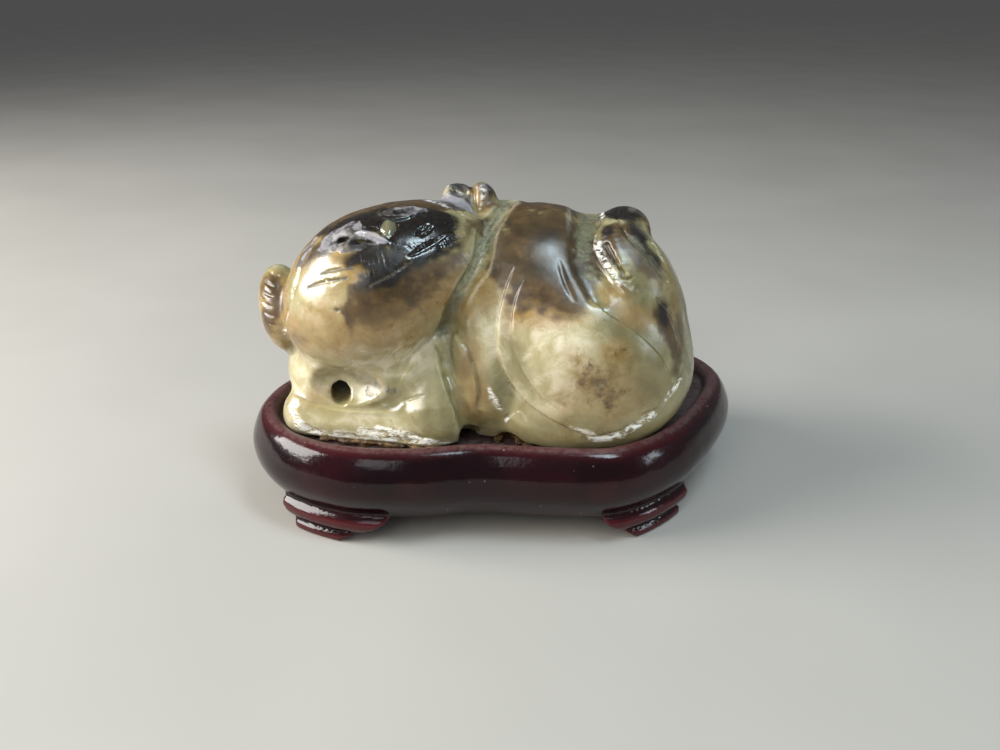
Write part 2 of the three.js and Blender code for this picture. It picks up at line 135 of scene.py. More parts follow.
# E = ellipsoid (centre, half sizes, turn), S = rounded limb (ends, end radii)
MASSES = [
    ('barrel', 0, [('E', (3.6, 0.4, 21.4), (12.4, 10.8, 11.9), (0, 0, 0))]),
    ('rump', 1.6, [('E', (12.6, 1.2, 19.6), (8.7, 9.8, 12.2), (0, -15, 0)),
        ('E', (13.2, -0.4, 14.6), (8.6, 10.4, 6.8), (0, -10, 8), 2.0)]),
    ('haunch', 2.4, [('E', (8.6, -6.2, 18.0), (11.0, 8.2, 9.8), (0, 34, 0)),
        ('E', (7.4, -7.6, 13.2), (9.6, 6.2, 5.4), (0, 0, -4), 2.4)]),
    ('far_haunch', 1.2, [('E', (8.6, 5.6, 17.2), (10.6, 6.6, 9.0), (0, 30, 0))]),
    ('belly', 0.8, [('E', (-1.6, -4.6, 17.4), (5.4, 6.6, 10.4), (0, -4, 0))]),
    ('tail', 1, [('E', (14.0, -2.4, 24.0), (5.0, 6.4, 8.4), (0, -22, 0)),
        ('E', (13.8, 1.8, 30.0), (2.9, 3.4, 2.5), (0, 0, 0), 0.6)]),
    ('chest', 1.6, [('E', (-13.8, -0.2, 16.0), (10.6, 8.8, 8.4), (0, -10, 0))]),
    ('foreleg', 1.2, [('S', (-8.0, -4.4, 20.4), (-7.2, -6.8, 13.4), 2.6, 4.6)]),
    ('paw', 0.9, [('S', (-8.4, -7.2, 11.4), (-21.6, -4.2, 11.6), 3.9, 3.2)]),
    ('far_foreleg', 1.2, [('S', (-7.6, 4.6, 20.4), (-7.4, 6.6, 13.4), 2.6, 4.2)]),
    ('far_paw', 0.9, [('S', (-8.0, 6.2, 12.0), (-19.6, 5.0, 11.6), 4.0, 3.4)]),
    ('head', 1.3, [('E', (-14.3, -2.8, 25.0), (10.2, 8.8, 8.3), (0, -37, 0)),
        ('E', (-8.4, -1.4, 27.8), (7.2, 7.4, 6.0), (0, -30, 0), 3.0)]),
    ('neck', 1.2, [('S', (0.6, 1.5, 31.3), (-1.7, -2.5, 29.8), 2.3, 2.3),
        ('S', (-1.7, -2.5, 29.8), (-2.8, -5.2, 27.5), 2.3, 2.3, 0),
        ('S', (-2.8, -5.2, 27.5), (-4.7, -6.1, 25.9), 2.3, 2.3, 0),
        ('S', (-4.7, -6.1, 25.9), (-6.0, -5.9, 23.9), 2.3, 2.0, 0),
        ('S', (0.6, 1.5, 31.3), (-3.0, 6.2, 27.5), 2.3, 2.0, 0)]),
    ('snout', 0.9, [('E', (-24.3, 0.7, 22.2), (2.6, 4.8, 4.9), (0, -8, 0))]),
    ('horn', 0.8, [('E', (-4.7, 3.2, 33.4), (1.9, 2.2, 1.8), (0, 10, 0)),
        ('E', (-4.2, 1.8, 31.2), (2.3, 2.2, 3.2), (0, -34, 0), 0.8),
        ('E', (-1.9, 3.4, 32.9), (1.6, 2.2, 2.3), (0, -8, 0), 0.6),
        ('E', (-2.0, 2.4, 30.0), (2.6, 2.8, 3.2), (0, -10, 0), 0.8)]),
]
HOLLOWS = [
    ('chin_hollow', 'E', (-19.4, -10.9, 16.3), (6.6, 4.9, 2.8), (0, -4, 0), 0.3),
    ('far_chin_hollow', 'E', (-18.6, 10.6, 16.2), (6.0, 4.0, 2.6), (0, -4, 0), 0.6),
    ('horn_hollow', 'E', (-4.6, 2.0, 35.0), (1.3, 1.9, 1.0), (0, 12, 0), 0.3),
    ('neck_groove', 'P', [(0.6, 1.5, 33.9), (-1.9, -3.7, 32.1), (-2.9, -7.1, 29.2), (-4.7, -8.5, 26.8), (-6.0, -8.5, 24.2), (-6.7, -7.3, 21.8)], 1.05, 0.85, 0.35),
    ('rump_groove', 'P', [(10.6, 3.0, 33.6), (9.7, 2.0, 32.9), (8.3, -5.0, 31.7), (7.7, -7.9, 29.6), (8.6, -11.0, 26.9)], 1.9, 0.9, 0.8),
    ('under_gap', 'P', [(-4.2, -13, 10.6), (-4.6, -7.5, 10.8)], 1.5, 1.0, 0.3),
    ('foot_notch', 'P', [(-0.4, -13, 9.6), (-0.2, -9.5, 9.6)], 1.7, 1.4, 0.3),
    ('belly_crease', 'P', [(-6.7, -7.1, 22.2), (-6.7, -8.5, 18.9), (-5.5, -10.6, 15.5), (-4.6, -10.6, 11.6)], 0.6, 0.8, 0.5),
]

# stand: rim's edge in plan, section of the body, section of a foot
PLAN = [
    (26.75, 3.0), (24.0, -3.5), (17.4, -11.8), (10.4, -15.6), (2.8, -14.9), (-4.4, -13.7),
    (-11.5, -14.0), (-19.2, -12.4), (-25.2, -7.8), (-27.6, -1.2), (-26.0, 5.4), (-20.6, 11.0),
    (-12.2, 13.2), (-3.4, 12.8), (5.6, 14.2), (14.2, 15.4), (21.7, 13.2), (25.8, 8.6),
]
PLAN_SHIFT = (0.503, 0.153)
JADE_SHIFT = 0.42
SECTION = [
    (-2.7, 2.6), (-1.3, 2.75), (-0.25, 3.5), (0.8, 4.9), (1.45, 6.4), (1.5, 8.0),
    (1.05, 9.4), (0.45, 10.5), (-0.1, 11.0), (-0.7, 11.2), (-1.2, 11.1),
    (-1.55, 10.7), (-1.7, 10.2), (-1.8, 9.7),
]
FOOT_SECTION = [            # height, distance out, how far the ends draw in
    (0.0, 0.2, 6.0), (0.3, 0.4, 5.6), (0.8, 0.3, 4.7), (1.15, -0.05, 4.1),
    (1.5, 0.3, 3.2), (2.1, 0.7, 2.0), (2.8, 0.75, 0.9), (3.5, 0.2, 0.2), (4.4, -0.9, 0.0),
]
FOOT_DEPTH = 7.0
# along the rim: start, end, and how much each end draws in
FEET = [(0.352, 0.450, 1.0, 0.35), (0.103, 0.195, 0.2, 0.75), (0.545, 0.655, 0.25, 0.9), (0.865, 0.965, 0.9, 0.25)]

# fine carving on the skin: kind, points, start and end radius, depth or height, edge softness
FINE = [
    ('cut', [(-17.9, -6.4, 31.7), (-16.7, -7.0, 32.0)], 1, 1.3, 0.22, 0.4),
    ('cut', [(-17.1, -6.8, 31.9), (-16.4, -7.1, 32.1)], 0.42, 0.42, 1, 0.06),
    ('nick', [(-15.9, -7.9, 31.8), (-15.1, -8.0, 32.0), (-14.2, -8.3, 32.0), (-13.3, -8.6, 31.8)], 0.3, 0.3, 0.62, 0.05),
    ('nick', [(-15.5, -6.4, 32.8), (-14.3, -6.7, 33.0), (-13.0, -7.3, 32.8), (-11.8, -8.3, 32.1)], 0.3, 0.3, 0.28, 0.08),
    ('bead', [(-15.3, -6.9, 32.6), (-14.5, -7.2, 32.6), (-13.6, -7.7, 32.5), (-12.8, -8.1, 32.2), (-12.1, -8.5, 31.9)], 0.2, 0.4, 0.32, 0.05),
    ('cut', [(-13.5, -3.9, 34.0), (-12.0, -5.1, 33.9), (-10.7, -5.1, 34.0), (-9.3, -4.1, 34.2)], 0.5, 0.7, 0.2, 0.25),
    ('nick', [(-13.5, -4.8, 33.8), (-12.1, -5.9, 33.6), (-10.7, -6.0, 33.6), (-8.9, -5.0, 33.9), (-7.5, -3.5, 34.2)], 0.3, 0.3, 0.34, 0.05),
    ('cut', [(-11.3, -4.5, 34.1), (-10.6, -4.4, 34.2)], 0.36, 0.36, 0.55, 0.05),
    ('bead', [(-12.1, -6.0, 33.5), (-12.0, -7.1, 33.0), (-12.3, -7.9, 32.4)], 0.35, 0.55, 0.12, 0.08),
    ('nick', [(-12.8, -6.1, 33.5), (-13.0, -7.0, 33.0), (-12.7, -7.9, 32.4)], 0.22, 0.22, 0.2, 0.05),
    ('nick', [(-11.3, -6.3, 33.5), (-11.3, -7.2, 32.9), (-11.9, -8.1, 32.3)], 0.22, 0.22, 0.2, 0.05),
    ('nick', [(-18.9, -8.9, 29.0), (-17.9, -9.2, 29.4), (-16.8, -9.6, 29.7), (-15.6, -9.9, 29.9)], 0.14, 0.14, 0.17, 0.02),
    ('nick', [(-20.4, -8.6, 27.5), (-19.2, -9.2, 28.1), (-17.7, -9.9, 28.6), (-16.2, -10.3, 28.9)], 0.15, 0.15, 0.18, 0.02),
    ('nick', [(-14.2, -11.0, 28.2), (-13.0, -10.8, 28.8), (-11.6, -10.4, 29.4), (-9.7, -9.5, 30.4)], 0.1, 0.1, 0.1, 0.03),
    ('nick', [(-10.2, -9.4, 30.7), (-9.0, -8.9, 31.1), (-7.6, -8.0, 31.6), (-6.2, -6.8, 32.2)], 0.24, 0.24, 0.3, 0.04),
    ('nick', [(-9.6, -9.0, 31.0), (-8.6, -8.5, 31.5), (-7.4, -7.7, 31.9)], 0.2, 0.2, 0.26, 0.04),
    ('nick', [(-9.3, -7.7, 32.4), (-8.7, -7.0, 32.8), (-8.0, -6.4, 33.1)], 0.2, 0.2, 0.26, 0.04),
    ('nick', [(-8.9, -7.8, 32.2), (-8.2, -7.3, 32.6), (-7.6, -6.5, 33.0)], 0.16, 0.16, 0.2, 0.04),
    ('nick', [(-7.0, -6.5, 32.7), (-6.0, -5.5, 33.1), (-5.3, -4.7, 33.2)], 0.18, 0.18, 0.18, 0.04),
    ('nick', [(-6.6, -7.2, 32.1), (-5.6, -6.1, 32.5), (-4.8, -5.4, 32.5)], 0.18, 0.18, 0.18, 0.04),
    ('nick', [(-6.2, -7.6, 31.4), (-5.3, -6.7, 31.7), (-4.5, -6.1, 31.8)], 0.18, 0.18, 0.18, 0.04),
    ('nick', [(-17.6, -10.9, 26.0), (-17.2, -11.1, 25.9)], 0.22, 0.22, 0.2, 0.04),
    ('nick', [(0.7, 1.7, 32.9), (-1.4, -3.1, 31.3), (-3.5, -6.3, 29.0)], 0.1, 0.1, 0.1, 0.03),
    ('nick', [(0.1, 1.3, 32.8), (-2.0, -3.3, 31.2), (-4.0, -7.0, 29.1), (-5.4, -7.9, 26.8)], 0.1, 0.1, 0.1, 0.03),
    ('nick', [(0.8, -0.7, 33.1), (-1.1, -4.0, 31.4), (-3.0, -6.1, 28.9), (-4.7, -7.6, 26.5)], 0.1, 0.1, 0.1, 0.03),
    ('nick', [(-2.9, 3.8, 34.9), (-3.2, 2.0, 34.2), (-3.1, 1.2, 33.3), (-2.7, 0.1, 32.6)], 0.4, 0.4, 0.4, 0.12),
    ('nick', [(-4.9, 3.4, 34.4), (-4.2, 3.4, 34.4), (-3.8, 2.2, 34.2), (-3.7, 1.0, 33.8)], 0.22, 0.22, 0.18, 0.06),
    ('nick', [(-1.9, 2.5, 35.0), (-1.9, 1.5, 34.1), (-2.2, 1.0, 33.1)], 0.25, 0.25, 0.2, 0.06),
    ('nick', [(-5.6, -2.1, 33.9), (-4.8, -3.3, 33.4), (-3.8, -3.3, 32.8)], 0.3, 0.3, 0.18, 0.1),
    ('nick', [(-10.9, -9.0, 20.2), (-11.6, -8.6, 18.5), (-12.2, -8.9, 16.5)], 0.24, 0.24, 0.24, 0.05),
    ('nick', [(-8.0, -7.6, 21.0), (-7.3, -7.7, 19.7), (-6.8, -8.1, 18.3)], 0.24, 0.24, 0.22, 0.05),
    ('nick', [(-11.7, -9.0, 14.7), (-10.5, -9.3, 15.2), (-9.2, -10.0, 15.8)], 0.2, 0.2, 0.14, 0.04),
    ('cut', [(-6.8, -8.8, 17.4), (-6.3, -10.2, 15.5), (-5.8, -11.0, 13.5)], 0.5, 0.3, 0.12, 0.2),
    ('nick', [(-2.5, -11.1, 16.5), (-2.1, -11.0, 15.5), (-1.3, -10.9, 14.2)], 0.35, 0.35, 0.22, 0.06),
    ('nick', [(-1.6, -11.2, 16.2), (-1.2, -11.1, 15.2), (-0.7, -11.0, 14.2)], 0.25, 0.25, 0.18, 0.05),
    ('nick', [(-0.7, -10.8, 13.0), (-0.1, -11.3, 14.1), (0.6, -11.9, 14.5)], 0.25, 0.25, 0.2, 0.05),
    ('nick', [(6.5, -6.0, 30.4), (6.5, -7.4, 29.1), (7.0, -9.2, 27.6), (7.9, -10.3, 26.5), (9.3, -11.9, 25.2)], 0.2, 0.2, 0.14, 0.04),
    ('bead', [(11.8, -2.8, 32.0), (10.8, -4.9, 31.1), (10.9, -6.4, 29.8), (11.6, -7.8, 28.0), (12.7, -8.8, 26.6)], 0.5, 1.4, 0.3, 0.5),
    ('nick', [(11.5, 3.7, 31.8), (10.6, -1.1, 31.6), (9.7, -2.5, 31.0), (9.2, -4.2, 30.5)], 0.3, 0.3, 0.3, 0.05),
    ('nick', [(10.4, -5.6, 30.2), (10.8, -6.6, 29.4), (11.4, -7.6, 28.4), (11.9, -8.2, 27.5)], 0.3, 0.3, 0.24, 0.05),
    ('nick', [(11.4, -8.2, 27.6), (12.0, -8.3, 27.4), (12.6, -8.2, 27.5)], 0.2, 0.2, 0.2, 0.04),
    ('nick', [(13.0, 1.7, 32.4), (12.5, 0.0, 31.9), (12.2, -4.2, 31.7), (13.0, -5.8, 30.7), (14.2, -6.5, 29.6), (15.5, -6.8, 28.3), (16.9, -6.6, 26.7)], 0.22, 0.22, 0.24, 0.04),
    ('nick', [(14.5, -0.8, 31.5), (14.8, -3.2, 30.9), (15.6, -4.3, 30.0), (16.3, -5.1, 28.8), (16.9, -5.8, 27.6)], 0.34, 0.34, 0.42, 0.05),
    ('nick', [(14.5, -6.8, 29.1), (15.3, -7.0, 28.3), (16.2, -7.0, 27.2)], 0.3, 0.3, 0.3, 0.05),
    ('nick', [(15.5, -7.3, 27.7), (16.2, -7.1, 27.0), (17.0, -6.7, 26.3)], 0.18, 0.18, 0.2, 0.04),
    ('nick', [(15.5, -0.5, 31.1), (16.8, 0.8, 29.6), (17.1, -1.4, 29.0)], 0.16, 0.16, 0.16, 0.04),
    ('nick', [(15.3, -8.6, 25.3), (15.8, -8.6, 24.8), (16.5, -8.3, 24.1), (17.0, -8.3, 23.2)], 0.3, 0.3, 0.3, 0.05),
    ('nick', [(16.7, -7.9, 24.6), (17.5, -8.0, 22.9), (17.9, -8.8, 20.9), (18.2, -9.6, 18.9)], 0.3, 0.3, 0.22, 0.06),
    ('nick', [(5.1, -7.8, 29.3), (5.5, -9.5, 27.7), (6.2, -11.0, 26.2)], 0.5, 0.5, 0.12, 0.1),
    ('nick', [(-22.5, -7.3, 11.7), (-21.4, -7.5, 11.0), (-19.9, -7.9, 10.8)], 0.5, 0.5, 0.24, 0.05),
    ('nick', [(-19.2, -8.1, 10.9), (-17.3, -8.6, 10.7), (-15.6, -9.1, 10.6)], 0.4, 0.4, 0.2, 0.05),
    ('nick', [(-15.9, -9.1, 11.6), (-14.4, -9.5, 11.5), (-12.9, -10.0, 11.4)], 0.35, 0.35, 0.18, 0.05),
    ('nick', [(-13.6, -9.7, 10.9), (-11.7, -10.3, 10.8), (-9.4, -10.9, 10.8)], 0.45, 0.45, 0.22, 0.05),
    ('nick', [(-11.4, -10.4, 11.6), (-10.2, -10.8, 11.5), (-8.7, -11.2, 11.3)], 0.3, 0.3, 0.16, 0.05),
    ('nick', [(8.7, -14.0, 12.2), (10.1, -14.0, 12.4), (11.8, -13.8, 12.9)], 0.4, 0.4, 0.2, 0.05),
    ('nick', [(11.2, -13.9, 12.9), (12.9, -13.6, 13.4), (14.5, -12.9, 14.0)], 0.4, 0.4, 0.22, 0.05),
    ('nick', [(13.0, -13.6, 14.3), (14.2, -13.1, 14.3), (15.2, -12.6, 14.5)], 0.3, 0.3, 0.18, 0.05),
    ('nick', [(16.6, -11.7, 15.7), (17.4, -11.0, 16.3), (17.9, -10.4, 16.9)], 0.45, 0.45, 0.24, 0.06),
    ('nick', [(-6.0, -6.8, 21.8), (-6.4, -7.3, 20.3), (-6.1, -8.1, 18.9)], 0.3, 0.3, 0.2, 0.06),
    ('nick', [(-26.0, -1.0, 26.0), (-25.2, -2.3, 25.9), (-24.6, -2.6, 25.7)], 0.2, 0.2, 0.16, 0.05),
    ('nick', [(-26.2, -1.7, 25.1), (-25.3, -3.0, 25.0), (-24.7, -3.3, 24.9)], 0.2, 0.2, 0.16, 0.05),
    ('nick', [(-26.2, -2.3, 24.2), (-25.5, -3.4, 24.0), (-24.8, -3.8, 23.9)], 0.2, 0.2, 0.16, 0.05),
    ('nick', [(-26.0, -2.9, 23.2), (-25.3, -3.7, 23.0), (-24.7, -4.0, 22.9)], 0.2, 0.2, 0.16, 0.05),
    ('nick', [(-25.8, -3.3, 22.2), (-25.1, -3.9, 21.9), (-24.4, -4.1, 21.9)], 0.2, 0.2, 0.16, 0.05),
    ('nick', [(-25.3, -3.5, 21.1), (-24.8, -3.8, 20.8), (-24.3, -3.9, 20.7)], 0.2, 0.2, 0.16, 0.05),
    ('nick', [(-25.7, 0.4, 26.7), (-24.8, -1.3, 26.6), (-24.0, -1.2, 26.5)], 0.2, 0.2, 0.16, 0.05),
]
# rows of short strokes between two lines: count, radius, depth
HATCH = [
    ([(-15.3, -9.0, 31.1), (-14.3, -9.2, 31.1), (-13.3, -9.3, 31.1), (-12.4, -9.2, 31.2)], [(-14.8, -10.4, 29.4), (-14.0, -10.5, 29.3), (-13.0, -10.4, 29.5), (-12.1, -10.1, 29.9)], 6, 0.14, 0.06),
    ([(-10.6, -8.7, 31.6), (-9.8, -8.4, 31.8), (-9.0, -8.2, 31.9)], [(-9.7, -9.0, 31.0), (-8.9, -8.7, 31.2), (-8.0, -8.2, 31.6)], 5, 0.12, 0.06),
    ([(-7.4, -7.7, 31.8), (-6.9, -7.4, 32.0), (-6.4, -7.1, 32.1)], [(-7.1, -8.3, 31.0), (-6.4, -8.0, 31.1), (-5.8, -7.6, 31.1)], 4, 0.12, 0.06),
    ([(-6.3, -4.4, 33.6), (-5.4, -4.7, 33.2), (-4.7, -5.2, 32.6)], [(-4.9, -1.7, 33.7), (-4.2, -3.3, 33.1), (-3.8, -4.5, 32.4)], 5, 0.12, 0.06),
]
# ledges where one form overlaps the next: points, depth, width, side that lies lower
LEDGES = [
    ([(0.5, -7.6, 28.9), (-0.7, -8.7, 26.3), (-1.4, -9.8, 23.9), (-1.5, -10.8, 21.1), (-0.8, -11.1, 18.7), (0.3, -11.4, 16.6), (1.9, -12.7, 15.2), (3.9, -13.6, 14.1), (6.9, -14.1, 12.8)], 0.5, 3.2, 1),
    ([(1.5, -8.5, 28.0), (0.4, -9.4, 25.9), (-0.1, -10.4, 23.2), (0.2, -11.3, 20.7), (1.2, -12.1, 18.5), (2.7, -13.1, 16.6), (4.8, -13.9, 15.4)], 0.22, 1.3, 1),
    ([(6.6, -6.1, 30.2), (6.5, -7.4, 29.1), (7.0, -9.2, 27.6), (7.9, -10.3, 26.5), (9.5, -11.9, 25.1), (13.0, -12.4, 22.7), (15.3, -12.1, 20.2), (16.8, -11.5, 16.9)], 0.5, 3, -1),
    ([(11.5, 3.6, 31.6), (10.5, -0.9, 31.5), (9.6, -2.7, 30.9), (9.1, -4.7, 30.3), (9.3, -6.4, 29.3), (9.9, -7.7, 28.3), (10.6, -9.0, 27.3), (11.5, -9.8, 26.4)], 0.55, 2.2, 1),
    ([(-21.1, -6.3, 28.9), (-21.8, -7.1, 27.0), (-22.7, -6.9, 24.6), (-23.5, -4.4, 21.3)], 0.3, 1.2, 1),
    ([(-23.9, -4.0, 13.8), (-22.0, -6.3, 14.0), (-19.6, -7.5, 13.7), (-16.0, -8.7, 13.7), (-12.6, -9.2, 13.9), (-11.5, -9.1, 14.6)], 0.3, 1.8, -1),
    ([(-6.1, -6.6, 22.0), (-5.2, -9.2, 21.1), (-4.2, -10.3, 19.1), (-3.7, -10.7, 16.5), (-3.8, -10.4, 14.3)], 0.5, 2.2, -1),
    ([(-6.9, -6.4, 21.9), (-8.1, -7.7, 20.9), (-9.9, -8.1, 19.6), (-11.2, -8.5, 17.8), (-12.0, -8.9, 16.2)], 0.28, 1.6, 1),
    ([(-22.5, -7.0, 21.8), (-21.4, -7.5, 20.0), (-18.8, -8.5, 18.9), (-16.5, -9.2, 18.9), (-13.0, -10.0, 20.4), (-9.4, -9.1, 21.7), (-7.3, -6.6, 22.1)], 0.3, 1.6, 1),
    ([(15.0, -0.7, 31.4), (15.8, -4.0, 30.0), (17.0, -5.6, 27.6)], 0.2, 0.9, 1),
    ([(15.7, -8.5, 25.1), (17.1, -8.6, 22.7), (17.8, -9.4, 20.3), (18.2, -9.9, 18.1)], 0.2, 1.2, 1),
]
